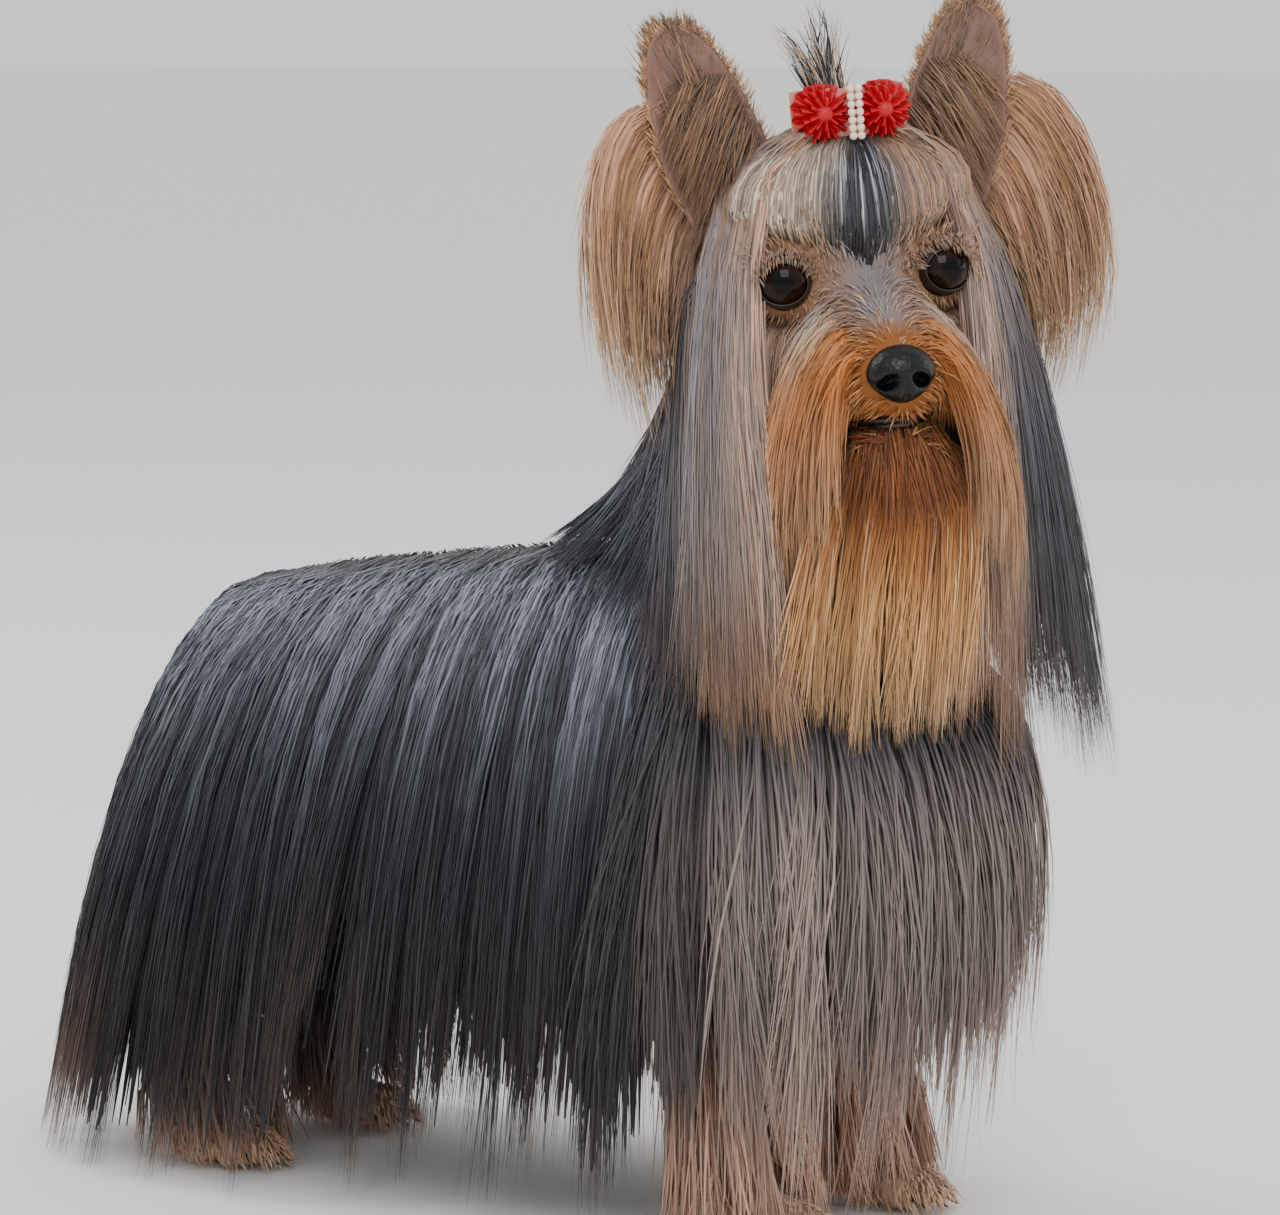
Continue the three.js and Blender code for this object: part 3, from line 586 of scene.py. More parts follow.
def add_hair(name, locks, material, nodes):
    """The locks as objects under the limit of triangles, standing for the named nodes."""
    count, points, _ = locks["place"].shape
    each = (points - 1) * 6 + 2
    pieces = math.ceil(count * each / TRIANGLES_A_PIECE)
    for i in range(pieces):
        share = {key: value[i::pieces] for key, value in locks.items()}
        made = hair_object(name if pieces == 1 else f"{name}_{i + 1}", share, material)
        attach(made, "root")
        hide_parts(*nodes)


# Materials


def node(tree, kind, inputs=None, **settings):
    """A shader node with its settings, and its inputs set or linked."""
    made = tree.nodes.new(kind)
    for key, value in settings.items():
        setattr(made, key, value)
    for key, value in (inputs or {}).items():
        if isinstance(value, bpy.types.NodeSocket):
            tree.links.new(value, made.inputs[key])
        else:
            made.inputs[key].default_value = value
    return made


def material(name, colour, roughness):
    made = bpy.data.materials.new(name)
    made.use_nodes = True
    shader = made.node_tree.nodes["Principled BSDF"]
    shader.inputs["Base Color"].default_value = (*colour, 1)
    shader.inputs["Roughness"].default_value = roughness
    return made, made.node_tree, shader


def hair_material(name, roughness, sheen):
    """Silky hair: the colour set on each lock, painted sheen and painted shade included, and a soft gleam
    along it.
    """
    made, tree, shader = material(name, (0.2, 0.2, 0.2), roughness)
    shader.inputs["Specular IOR Level"].default_value = 0.3
    shader.inputs["Sheen Weight"].default_value = sheen
    shader.inputs["Sheen Roughness"].default_value = 0.4
    tint = node(tree, "ShaderNodeAttribute", attribute_name="tint")
    tree.links.new(tint.outputs["Color"], shader.inputs["Base Color"])
    return made


def bumpy(tree, shader, scale, strength, distance, kind="ShaderNodeTexNoise"):
    """Fine relief from a noise in the object's own coordinates."""
    where = node(tree, "ShaderNodeTexCoord")
    noise = node(tree, kind, {"Vector": where.outputs["Object"], "Scale": scale})
    height = noise.outputs["Fac"] if kind == "ShaderNodeTexNoise" else noise.outputs["Distance"]
    bump = node(tree, "ShaderNodeBump", {"Strength": strength, "Distance": distance, "Height": height})
    tree.links.new(bump.outputs["Normal"], shader.inputs["Normal"])


def make_materials():
    made = {"coat": hair_material("silky_hair", 0.42, 0.12)}
    # Skin and the down on it, in the coat's colour at each place darkened as painted shade under the hair,
    # finely mottled.
    skin = hair_material("skin_down", 0.75, 0.0)
    bumpy(skin.node_tree, skin.node_tree.nodes["Principled BSDF"], 700, 0.6, 0.0006)
    made["skin"] = skin
    # Inside of the ear: thin mauve skin, blotched and softly furred.
    ear, tree, shader = material("ear_skin", linear("#8d685e"), 0.6)
    where = node(tree, "ShaderNodeTexCoord")
    blotch = node(tree, "ShaderNodeTexNoise", {"Vector": where.outputs["Object"], "Scale": 90.0})
    tone = node(tree, "ShaderNodeMix", data_type="RGBA")
    tree.links.new(blotch.outputs["Fac"], tone.inputs["Factor"])
    tone.inputs[6].default_value = (*linear("#5f4238"), 1)
    tone.inputs[7].default_value = (*linear("#8f6c5f"), 1)
    tree.links.new(tone.outputs[2], shader.inputs["Base Color"])
    bumpy(tree, shader, 500, 0.4, 0.0004)
    made["ear"] = ear
    # Eye: deep brown under a wet clear surface.
    eye = hair_material("eye", 0.07, 0.0)
    eye.node_tree.nodes["Principled BSDF"].inputs["Specular IOR Level"].default_value = 0.14
    made["eye"] = eye
    # Beads: pale pearl.
    made["bead"] = material("bead", linear("#f1dccb"), 0.18)[0]
    for key, name, colour, roughness, specular, relief in (
        # Nose: black, moist and pebbled.
        ("nose", "nose_leather", "#0c0a0a", 0.32, 0.28, (900, 0.5, 0.0003, "ShaderNodeTexVoronoi")),
        # Lips and lids: dark bare skin with a damp edge.
        ("lip", "lip_skin", "#24140f", 0.4, 0.5, (600, 0.3, 0.0003)),
        ("lid", "lid_skin", "#2b1d18", 0.4, 0.5, (600, 0.3, 0.0003)),
        # Ribbon: crimson satin with a fine weave, and its salmon ends with the same weave.
        ("ribbon", "ribbon", "#b80a1c", 0.42, 0.35, (1500, 0.3, 0.0002)),
        ("salmon", "ribbon_pale", "#d08078", 0.5, 0.5, (1500, 0.3, 0.0002)),
        # Claws: dark horn, faintly worn.
        ("claw", "claw", "#2a2322", 0.35, 0.5, (800, 0.2, 0.0002)),
    ):
        made[key], tree, shader = material(name, linear(colour), roughness)
        shader.inputs["Specular IOR Level"].default_value = specular
        bumpy(tree, shader, *relief)
    return made


# Pieces from primitives


def read(parts, field, width=3):
    """One field of all vertices or faces of a mesh."""
    flat = np.empty(len(parts) * width)
    parts.foreach_get(field, flat)
    return flat.reshape(-1, width)


def deselect():
    bpy.ops.object.select_all(action="DESELECT")


def subdivide(cuts):
    """The active primitive, its faces cut into smaller ones."""
    bpy.ops.object.mode_set(mode="EDIT")
    bpy.ops.mesh.select_all(action="SELECT")
    bpy.ops.mesh.subdivide(number_cuts=cuts)
    bpy.ops.object.mode_set(mode="OBJECT")


def placed(points):
    return (np.asarray(points) + STANDING) * MILLIMETRE


def head_frame():
    """The head's own axes and place, for a primitive made at the origin in millimetres."""
    turn = Euler((0, HEAD_ROLL, HEAD_TURN), "XYZ").to_matrix().to_4x4()
    where = Matrix.Translation(Vector(placed(SKULL_PLACE)))
    return where @ turn @ Matrix.Scale(MILLIMETRE, 4)


def shaped(name, change, frame, surface, smooth=True):
    """The active primitive, its vertices changed by a function, in its place and with its material."""
    made = bpy.context.active_object
    made.name = name
    mesh = made.data
    where = change(read(mesh.vertices, "co"))
    mesh.vertices.foreach_set("co", where.ravel())
    mesh.transform(frame)
    made.location = (0, 0, 0)
    if smooth:
        mesh.shade_smooth()
    mesh.materials.clear()
    mesh.materials.append(surface)
    mesh.update()
    return made


def world_frame():
    return Matrix.Translation(Vector(STANDING * MILLIMETRE)) @ Matrix.Scale(MILLIMETRE, 4)


def sphere(name, centre, radii, frame, surface, segments=32, rings=16):
    deselect()
    bpy.ops.mesh.primitive_uv_sphere_add(segments=segments, ring_count=rings, radius=1)
    return shaped(name, lambda v: v * np.array(radii) + np.array(centre), frame, surface)


def joined(name, pieces):
    deselect()
    for piece in pieces:
        piece.select_set(True)
    bpy.context.view_layer.objects.active = pieces[0]
    bpy.ops.object.join()
    made = bpy.context.active_object
    made.name = name
    return made


def apply_modifier(target, kind, **settings):
    deselect()
    target.select_set(True)
    bpy.context.view_layer.objects.active = target
    modifier = target.modifiers.new(kind.lower(), kind)
    for key, value in settings.items():
        setattr(modifier, key, value)
    bpy.ops.object.modifier_apply(modifier=modifier.name)


# Flesh: trunk rows are y, z, half width, half height; neck rows x, y, z, radius; muzzle and jaw rows as
# the trunk's in the head's own axes; tail rows y, z, radius
TRUNK_ROWS = [
    (-98, 147, 19, 22),
    (-84, 149, 28, 31),
    (-60, 150, 33, 36),
    (-25, 150, 36, 36),
    (20, 151, 35, 32),
    (58, 151, 32, 28),
    (90, 146, 29, 26),
    (106, 141, 18, 18),
]
NECK_ROWS = [(0, -62, 160, 24), (-1, -77, 200, 24), (-2, -90, 235, 24), (-3, -94, 262, 24)]
MUZZLE_ROWS = [(-14, -14, 20, 18), (-36, -25, 17, 15.5), (-48, -31.5, 15.5, 13), (-53.5, -33, 12.5, 10.5)]
JAW_ROWS = [(-12, -34, 15, 10), (-36, -46, 11.5, 7.5), (-50, -51.5, 10, 5.5)]
TAIL_ROWS = [(98, 158, 6), (111, 158, 6), (117, 148, 5), (118, 137, 3.5)]


def between_rows(rows, steps):
    """The rows with more of them put in between, by straight steps."""
    rows = np.array(rows, dtype=float)
    places = np.linspace(0, len(rows) - 1, steps)
    return np.stack([np.interp(places, np.arange(len(rows)), column) for column in rows.T], axis=1)


def paint(piece, tint):
    """The piece's vertices given colours by a function of their places in millimetres."""
    mesh = piece.data
    colours = tint(read(mesh.vertices, "co") / MILLIMETRE - STANDING)
    attribute = mesh.attributes.new("tint", "FLOAT_COLOR", "POINT")
    attribute.data.foreach_set("color", np.c_[colours, np.ones(len(colours))].ravel().astype(np.float32))


# The coat's colour at each place, darkened to between a half and three quarters as painted shade under the
# hair; the body keeps the coat's darkest steel.
def skin_tint(place):
    local = (place - SKULL_PLACE) @ HEAD_MATRIX
    colour = np.tile(STEEL_DARK, (len(place), 1))
    on_skull = smoothstep(place[:, 2], 225, 240)
    colour = mix(colour, TAN * 0.6, on_skull)
    colour = mix(colour, ORANGE * 0.6, on_skull * smoothstep(-local[:, 1], 30, 44))
    bridge = np.exp(-((local[:, 0] / 10) ** 2)) * smoothstep(local[:, 2], -30, -20)
    colour = mix(colour, LAVENDER * 0.5, on_skull * bridge * (1 - smoothstep(-local[:, 1], 44, 54)))
    colour = mix(colour, RUST * 0.7, smoothstep(-local[:, 2], 44, 48) * smoothstep(-local[:, 1], 20, 30))
    return mix(colour, PEACH * 0.75, 1 - smoothstep(place[:, 2], 45, 90))


def eye_look(side):
    """The way an eye looks, in the head's own axes."""
    return unit(np.array([side * 0.24, -1, 0.03]))


def eye_tint(side):
    """Deep brown iris round a black pupil, paler at its rim."""
    look = eye_look(side)

    def tint(place):
        local = (place - SKULL_PLACE) @ HEAD_MATRIX - EYE_PLACE * [side, 1, 1]
        off = np.degrees(np.arccos(np.clip(unit(local) @ look, -1, 1)))
        iris = smoothstep(off, 20, 27) * (1 - smoothstep(off, 44, 50))
        return mix(np.tile(linear("#070505"), (len(place), 1)), linear("#1f1009") + 0 * local, iris)

    return tint


def build_skin(surface):
    """One skin over trunk, neck, head and legs, remeshed from joined balls."""
    world, head = world_frame(), head_frame()
    pieces = []

    def add(centre, radii, frame):
        pieces.append(sphere("flesh", centre, radii, frame, surface, 24, 12))

    for y, z, wide, high in between_rows(TRUNK_ROWS, 22):
        add((0, y, z), (wide, 14, high), world)
    for x, y, z, radius in between_rows(NECK_ROWS, 9):
        add((x, y, z), (radius, radius, 16), world)
    for side in (-1, 1):
        for kind, rows in LEGS.items():
            for x, y, z, wide, deep in between_rows(rows, 16):
                add((side * x, y, z), (wide - 1.5, deep - 1.5, 8), world)
            x, y = rows[-1][0], rows[-1][1]
            add((side * x, y - 3, 8), (10.5, 15, 7.5), world)
            for across, ahead in TOES:
                add((side * x + across, y + ahead, 6), (3.6, 6.2, 5.6), world)
    add((0, 3, 0), SKULL_RADII - 1, head)
    for y, z, wide, high in between_rows(MUZZLE_ROWS, 9):
        add((0, y, z), (wide, 8, high), head)
    for y, z, wide, high in between_rows(JAW_ROWS, 8):
        add((0, y, z), (wide, 5, high), head)
    for side in (-1, 1):
        add((side * 22.5, -17, -6), (12.5, 11.5, 11.5), head)
    for y, z, radius in between_rows(TAIL_ROWS, 10):
        add((0, y, z), (radius, radius, radius), world)
    skin = joined("skin", pieces)
    apply_modifier(skin, "REMESH", mode="VOXEL", voxel_size=0.0018)
    apply_modifier(skin, "SMOOTH", factor=0.7, iterations=8)
    for vertex in skin.data.vertices:
        vertex.co.z = max(vertex.co.z, 0)
    skin.data.shade_smooth()
    paint(skin, skin_tint)
    return skin


def build_nose(surface):
    deselect()
    bpy.ops.mesh.primitive_uv_sphere_add(segments=64, ring_count=40, radius=1)

    def change(v):
        x, y, z = v[:, 0].copy(), v[:, 1].copy(), v[:, 2].copy()
        wide = 9.6 * (1 - 0.22 * smoothstep(-z, 0.0, 1.0))
        v[:, 0] = x * wide
        v[:, 1] = y * 7.2
        v[:, 2] = z * 8.0
        front = smoothstep(-y, 0.1, 0.7)
        for side in (-1, 1):
            reach = np.hypot((v[:, 0] - side * 4.4) / 2.5, (v[:, 2] + 0.6 + 0.25 * np.abs(v[:, 0])) / 2.0)
            v[:, 1] += 5.0 * np.exp(-(reach**4)) * front
            slit = np.hypot((v[:, 0] - side * 7.2) / 2.2, (v[:, 2] + 2.6) / 1.1)
            v[:, 1] += 2.2 * np.exp(-(slit**2)) * front
        groove = np.exp(-((v[:, 0] / 0.8) ** 2)) * front * smoothstep(-v[:, 2], -1.0, 4.0)
        v[:, 1] += 1.5 * groove
        return v + NOSE_PLACE

    return shaped("nose", change, head_frame(), surface)


def build_eye(side, eye, lid):
    centre = EYE_PLACE * [side, 1, 1]
    ball = sphere("eyeball", centre, (EYE_RADIUS,) * 3, head_frame(), eye, 64, 48)
    paint(ball, eye_tint(side))
    deselect()
    bpy.ops.mesh.primitive_torus_add(major_segments=64, minor_segments=16, major_radius=1, minor_radius=0.2)

    def change(v):
        angle = np.arctan2(v[:, 1], v[:, 0])
        out = np.hypot(v[:, 0], v[:, 1]) - 1
        up = v[:, 2].copy()
        ring = 7.0 + 0.35 * np.cos(2 * angle) - 0.3 * np.sin(angle)
        reach = ring + out * 3.2
        x = reach * np.cos(angle)
        z = reach * np.sin(angle) * 0.95
        y = -np.sqrt(np.maximum((EYE_RADIUS + 0.2) ** 2 - np.minimum(x**2 + z**2, 62), 0.5)) - up * 2.6
        face = eye_look(side)
        right = unit(np.cross([0, 0, 1.0], -face))
        top = np.cross(-face, right)
        return centre + x[:, None] * right + z[:, None] * top - y[:, None] * face

    ring = shaped("lids", change, head_frame(), lid)
    return ball, ring


def build_mouth(surface):
    """The dark lips: a slim roll along the line of the mouth, and the lower lip under it."""
    pieces = []
    for drop, reach, thick in ((0.0, 13.5, 0.8), (-1.7, 10.5, 0.85)):
        deselect()
        bpy.ops.mesh.primitive_cylinder_add(vertices=16, radius=1, depth=2, end_fill_type="TRIFAN")
        subdivide(4)

        def change(v, drop=drop, reach=reach, thick=thick):
            along = v[:, 2].copy()
            slim = np.sqrt(np.maximum(0.05, 1 - along**2))
            x = along * reach
            y = -56.2 - 0.4 * drop + 13 * along**2 + v[:, 0] * thick * slim
            z = -43.4 + drop - 1.2 * along**2 + v[:, 1] * thick * slim - (0.8 - np.abs(along)) * 0.5
            return np.stack([x, y, z], axis=1)

        pieces.append(shaped("lip", change, head_frame(), surface))
    return joined("lips", pieces)


# Ear from foot to tip in the head's own axes: x, y, z, half width
EAR_ROWS = [
    (28, 3, 10, 15),
    (34, 3, 30, 17),
    (39, 3, 50, 14),
    (42, 3, 62, 9.5),
    (43, 3, 68, 5.5),
]


def ear_point(side, across, up):
    """A point on the ear's cupped sheet: across from -1 to 1, up from 0 to 1."""
    rows = np.array(EAR_ROWS)
    places = up * (len(rows) - 1)
    x, y, z, wide = (np.interp(places, np.arange(len(rows)), rows[:, k]) for k in range(4))
    wide = wide * np.sqrt(1 - 0.8 * np.clip((up - 0.8) / 0.2, 0, 1) ** 2)
    cup = lerp(9, 2.5, up)
    curl = np.abs(across) ** 2
    return (
        side * x + across * wide * (1 - 0.04 * curl),
        y + 4 - cup * curl * 0.9 - 1.0,
        z * 0.97 + 0 * across,
    )


def build_ear(side, surface):
    deselect()
    bpy.ops.mesh.primitive_grid_add(x_subdivisions=28, y_subdivisions=28, size=2)

    def change(v):
        x, y, z = ear_point(side, v[:, 0], (v[:, 1] + 1) / 2)
        return np.stack([x, y, z], axis=1)

    ear = shaped("ear", change, head_frame(), surface)
    apply_modifier(ear, "SOLIDIFY", thickness=0.0016, offset=0)
    apply_modifier(ear, "SMOOTH", factor=0.5, iterations=3)
    return ear


# Ruffles of a rosette: inner and outer radius, how far ahead it stands, and the number of its gathers
RUFFLES = [(2.6, 8.4, 0.4, 15), (2.0, 6.6, 2.4, 13), (1.0, 4.6, 4.0, 9)]
ROSETTE_ASIDE = 8.6


def build_rosette(side, surface):
    """Gathered ribbon: rings of ruffle, each smaller and further out."""
    pieces = []
    for ring, (inner, outer, ahead, waves) in enumerate(RUFFLES):
        deselect()
        bpy.ops.mesh.primitive_torus_add(
            major_segments=144, minor_segments=16, major_radius=1, minor_radius=0.3
        )

        def change(v, inner=inner, outer=outer, ahead=ahead, waves=waves, ring=ring):
            angle = np.arctan2(v[:, 1], v[:, 0])
            out = (np.hypot(v[:, 0], v[:, 1]) - 0.7) / 0.6
            thick = v[:, 2] / 0.3
            reach = lerp(inner, outer, out) * (1 + 0.05 * np.sin(angle * 3 + ring))
            gathers = angle * waves + 1.7 * ring + side + 0.6 * np.sin(3 * angle)
            ripple = (0.25 + out) * 1.7 * np.sin(gathers)
            x = reach * np.cos(angle)
            z = reach * np.sin(angle) * 1.05
            y = -ahead - ripple + 1.4 * out**2 + thick * 0.32
            return np.stack([x, y, z], axis=1) + BOW + np.array([side * ROSETTE_ASIDE, 0.5, 0])

        pieces.append(shaped("ruffle", change, head_frame(), surface))
    middle = BOW + np.array([side * ROSETTE_ASIDE, -3.2, 0])
    heart = sphere("heart", middle, (2.4, 2.0, 2.4), head_frame(), surface, 24, 12)
    return joined("rosette", [*pieces, heart])


def build_bow_centre(bead, salmon):
    pieces = []
    for row in range(7):
        for column in (-1, 1):
            centre = BOW + np.array([column * 1.15, -4.3, (row - 3) * 2.2])
            pieces.append(sphere("bead", centre, (1.15, 1.15, 1.15), head_frame(), bead, 16, 10))
    beads = joined("beads", pieces)
    deselect()
    bpy.ops.mesh.primitive_cube_add(size=2)
    subdivide(12)

    def change(v):
        x = v[:, 0] * 16.5
        y = v[:, 1] * 0.5 + 1.2 + 0.014 * x**2
        z = v[:, 2] * 6.8 * (1 + 0.05 * np.sin(x * 0.9))
        return np.stack([x, y, z], axis=1) + BOW

    band = shaped("band", change, head_frame(), salmon, smooth=False)
    return beads, band


def build_claws(surface):
    pieces = []
    for side in (-1, 1):
        for rows in LEGS.values():
            x, y = rows[-1][0], rows[-1][1]
            for across, ahead in TOES:
                deselect()
                bpy.ops.mesh.primitive_cone_add(vertices=16, radius1=1.3, radius2=0.2, depth=6)

                def change(v, side=side, x=x, y=y, across=across, ahead=ahead):
                    along = v[:, 2] + 3
                    where = np.stack([v[:, 0], -along, v[:, 1] - 0.07 * along**2], axis=1)
                    return where + np.array([side * x + across, y + ahead - 4.6, 5.2])

                pieces.append(shaped("claw", change, world_frame(), surface))
    return joined("claws", pieces)


# Colour of each fall


def blend(stops, t):
    """Colours along t from rows of (t, colour)."""
    places = [stop[0] for stop in stops]
    return np.stack([np.interp(t, places, [stop[1][k] for stop in stops]) for k in range(3)], axis=-1)


def mix(a, b, share):
    return lerp(a, b, col(np.clip(share, 0, 1)))


def trunk_tint(s, t, draw, clump):
    # Grey at the parting, brightened as painted sheen along the top of the back, then a band of painted
    # silver sheen over the upper flank above the coat's dark steel.
    down = [
        (0, BACK_GREY * 1.15),
        (0.14, BACK_GREY * 1.05),
        (0.27, SILVER * 0.8),
        (0.42, STEEL * 1.1),
        (0.62, STEEL_DARK * 1.1),
        (1, STEEL_DARK * 1.2),
    ]
    colour = blend(down, t)
    # Painted sheen: silver streaks over the upper flank, weaker towards the rear.
    silver = smoothstep(0.5 * clump + 0.5 * draw, 0.3, 0.8)
    silver = silver * smoothstep(t, 0.1, 0.26) * (1 - smoothstep(t, 0.4, 0.72))
    colour = mix(colour, SILVER * 1.1, 0.6 * silver * (1 - 0.4 * s))
    brown = smoothstep(t, 0.78, 1) * smoothstep(draw, 0.5, 0.9)
    colour = mix(colour, HEM_BROWN, 0.8 * brown)
    tan = smoothstep(t, 0.86, 1) * smoothstep(s, 0.66, 0.78) * smoothstep(draw, 0.2, 0.6)
    return mix(colour, PEACH * 0.8, 0.7 * tan)


def chest_tint(s, t, draw, clump):
    bearing = lerp(-93, 93, s)
    down = [(0, STEEL_DARK), (0.32, STEEL_DARK), (0.45, TAUPE_DARK), (0.62, TAUPE * 0.85), (1, TAUPE)]
    colour = blend(down, t)
    colour = mix(colour, TAUPE_PALE, smoothstep(clump, 0.6, 1) * smoothstep(t, 0.4, 0.7) * 0.6)
    dark = smoothstep(draw, 0.72, 0.95) * 0.6
    colour = mix(colour, TAUPE_DARK, dark)
    side = 1 - smoothstep(bearing, -84, -52)
    colour = mix(colour, STEEL_DARK * 1.2, side * 0.9)
    return mix(colour, PEACH, smoothstep(t, 0.85, 1) * 0.35 * (1 - side))


def fall_tint(left):
    def tint(s, t, draw, clump):
        down = [(0, TAN * 0.8), (0.15, TAUPE), (0.5, TAUPE * 1.05), (0.85, TAUPE_PALE * 0.9)]
        colour = blend([*down, (1, TAN * 0.95)], t)
        colour = mix(colour, PEACH, smoothstep(draw, 0.35, 0.8) * 0.7 * (1 - smoothstep(s, 0.12, 0.4)))
        if left:
            slate = smoothstep(s, 0.05, 0.18) * smoothstep(t, 0.08, 0.3)
        else:
            slate = smoothstep(s, 0.24, 0.42)
        return mix(colour, STEEL * 1.2, slate * lerp(0.75, 1, draw))

    return tint


def temple_tint(left):
    darkest = 0.9 if left else 0.3

    def tint(s, t, draw, clump):
        down = [(0, TAN * 0.7), (0.15, TAN * 0.95), (0.4, TAUPE * 1.1), (0.8, TAUPE_PALE * 0.95)]
        colour = blend([*down, (1, TAN * 0.95)], t)
        colour = mix(colour, PEACH * 1.05, smoothstep(draw, 0.3, 0.7) * (1 - smoothstep(s, 0.1, 0.5)) * 0.7)
        silver = smoothstep(clump, 0.4, 0.8) * smoothstep(s, 0.3, 0.7)
        colour = mix(colour, SILVER * 1.2, silver * 0.6)
        colour = mix(colour, STEEL * 1.2, smoothstep(s, 0.2, 0.55) * smoothstep(t, 0.3, 0.6) * darkest)
        return mix(colour, STEEL * 1.5, smoothstep(draw, 0.8, 0.95) * 0.6)

    return tint


def beard_tint(s, t, draw, clump):
    edge = np.abs(s - 0.5) * 2
    # Dark rust at the root and darker clumps near it under the mouth: the beard's own rust, deepened as
    # painted shade under the muzzle.
    down = [(0, RUST * 0.9), (0.25, RUST * 1.2), (0.5, ORANGE * 0.95), (0.8, ORANGE_PALE), (1, GOLD)]
    colour = blend(down, t)
    colour = mix(colour, RUST * 0.7, smoothstep(clump, 0.5, 1) * (1 - smoothstep(t, 0.5, 0.9)) * 0.7)
    colour = mix(colour, GOLD_PALE, smoothstep(draw, 0.85, 0.97) * smoothstep(t, 0.3, 0.6) * 0.6)
    return mix(colour, TAN, smoothstep(edge, 0.6, 1) * 0.4)


def moustache_tint(s, t, draw, clump):
    colour = blend([(0, ORANGE), (0.4, ORANGE * 1.15), (0.75, TAN), (1, GOLD)], t)
    pale = smoothstep(s, 0.5, 0.8) * (1 - smoothstep(t, 0.2, 0.6))
    colour = mix(colour, CREAM * 0.75, pale * 0.8)
    colour = mix(colour, LAVENDER * 0.8, smoothstep(s, 0.8, 1) * (1 - smoothstep(t, 0.1, 0.5)))
    return mix(colour, RUST, smoothstep(draw, 0.75, 0.95) * 0.5)


def cheek_tint(s, t, draw, clump):
    colour = blend([(0, TAN * 0.85), (0.3, PEACH * 0.75), (0.7, TAUPE_PALE), (1, TAN)], t)
    return mix(colour, TAUPE, smoothstep(draw, 0.4, 0.8) * 0.7)


def forehead_tint(s, t, draw, clump):
    width = lerp(0.19, 0.12, smoothstep(t, 0.35, 0.95)) * smoothstep(t, -0.12, 0.12)
    middle = np.exp(-(((s - 0.47 - 0.06 * t) / width) ** 4))
    left = mix(TAUPE_PALE * 0.8 + 0 * col(s), CREAM * 0.85, smoothstep(draw, 0.3, 0.9))
    right = mix(TAUPE * 0.9 + 0 * col(s), TAN * 0.95, draw)
    colour = mix(left, right, smoothstep(s, 0.45, 0.7))
    # Painted shade in the creases: darker at the roots along the brows and sides, and at the tips under the
    # bow.
    colour = mix(colour, TAUPE * 0.65, (1 - smoothstep(t, 0.0, 0.25)) * 0.8)
    colour = mix(colour, TAN * 0.45, smoothstep(t, 0.82, 1) * 0.7)
    silver = np.exp(-(((t - 0.62) / 0.17) ** 2)) * smoothstep(draw, 0.4, 0.85)
    patch = mix(CHARCOAL * 0.75 + 0 * col(s + t), SILVER * 1.3, silver * 0.8)
    colour = mix(colour, patch, middle)
    return mix(colour, WHITE_HAIR * 0.75, smoothstep(draw, 0.93, 0.98) * middle * smoothstep(t, 0.2, 0.4))


def fringe_tint(s, t, draw, clump):
    colour = blend([(0, TAN * 0.75), (0.3, TAN * 1.1), (0.7, GOLD), (1, GOLD_PALE)], t)
    colour = mix(colour, PEACH, smoothstep(clump, 0.4, 0.9) * 0.6)
    colour = mix(colour, TAUPE * 0.8, smoothstep(s, 0.5, 0.95) * lerp(0.5, 1, draw))
    return mix(colour, HEM_BROWN * 0.5, smoothstep(draw, 0.84, 0.95) * smoothstep(t, 0.1, 0.5) * 0.85)


def feather_tint(s, t, draw, clump):
    colour = blend([(0, TAUPE * 0.8), (0.35, TAUPE), (0.6, PEACH * 0.9), (1, PEACH * 1.05)], t)
    return mix(colour, HEM_BROWN, smoothstep(draw, 0.8, 0.97) * 0.5)


def hind_tint(s, t, draw, clump):
    colour = blend([(0, STEEL_DARK), (0.5, STEEL), (0.85, HEM_BROWN), (1, PEACH * 0.9)], t)
    return colour


def mane_tint(s, t, draw, clump):
    return blend([(0, TAUPE_DARK), (0.4, STEEL * 1.3), (1, STEEL * 1.2)], t)


def topknot_tint(s, t, draw, clump):
    colour = mix(CHARCOAL + 0 * col(s), CREAM, smoothstep(draw, 0.35, 0.5))
    colour = mix(colour, WHITE_HAIR * 0.9, smoothstep(draw, 0.6, 0.7))
    return mix(colour, GOLD, smoothstep(draw, 0.82, 0.92)) + 0 * col(t)


def crown_tint(s, t, draw, clump):
    back = 1 - np.abs(s - 0.5) * 2
    colour = blend([(0, TAN * 0.8), (0.4, TAUPE), (1, TAUPE_DARK)], t)
    return mix(colour, STEEL * 1.3, smoothstep(back, 0.1, 0.5))


# Painted shade: a fall's colours darkened for the locks set deepest, under the rest of the coat.
def in_painted_shade(tint, share):
    return lambda s, t, draw, clump: tint(s, t, draw, clump) * share


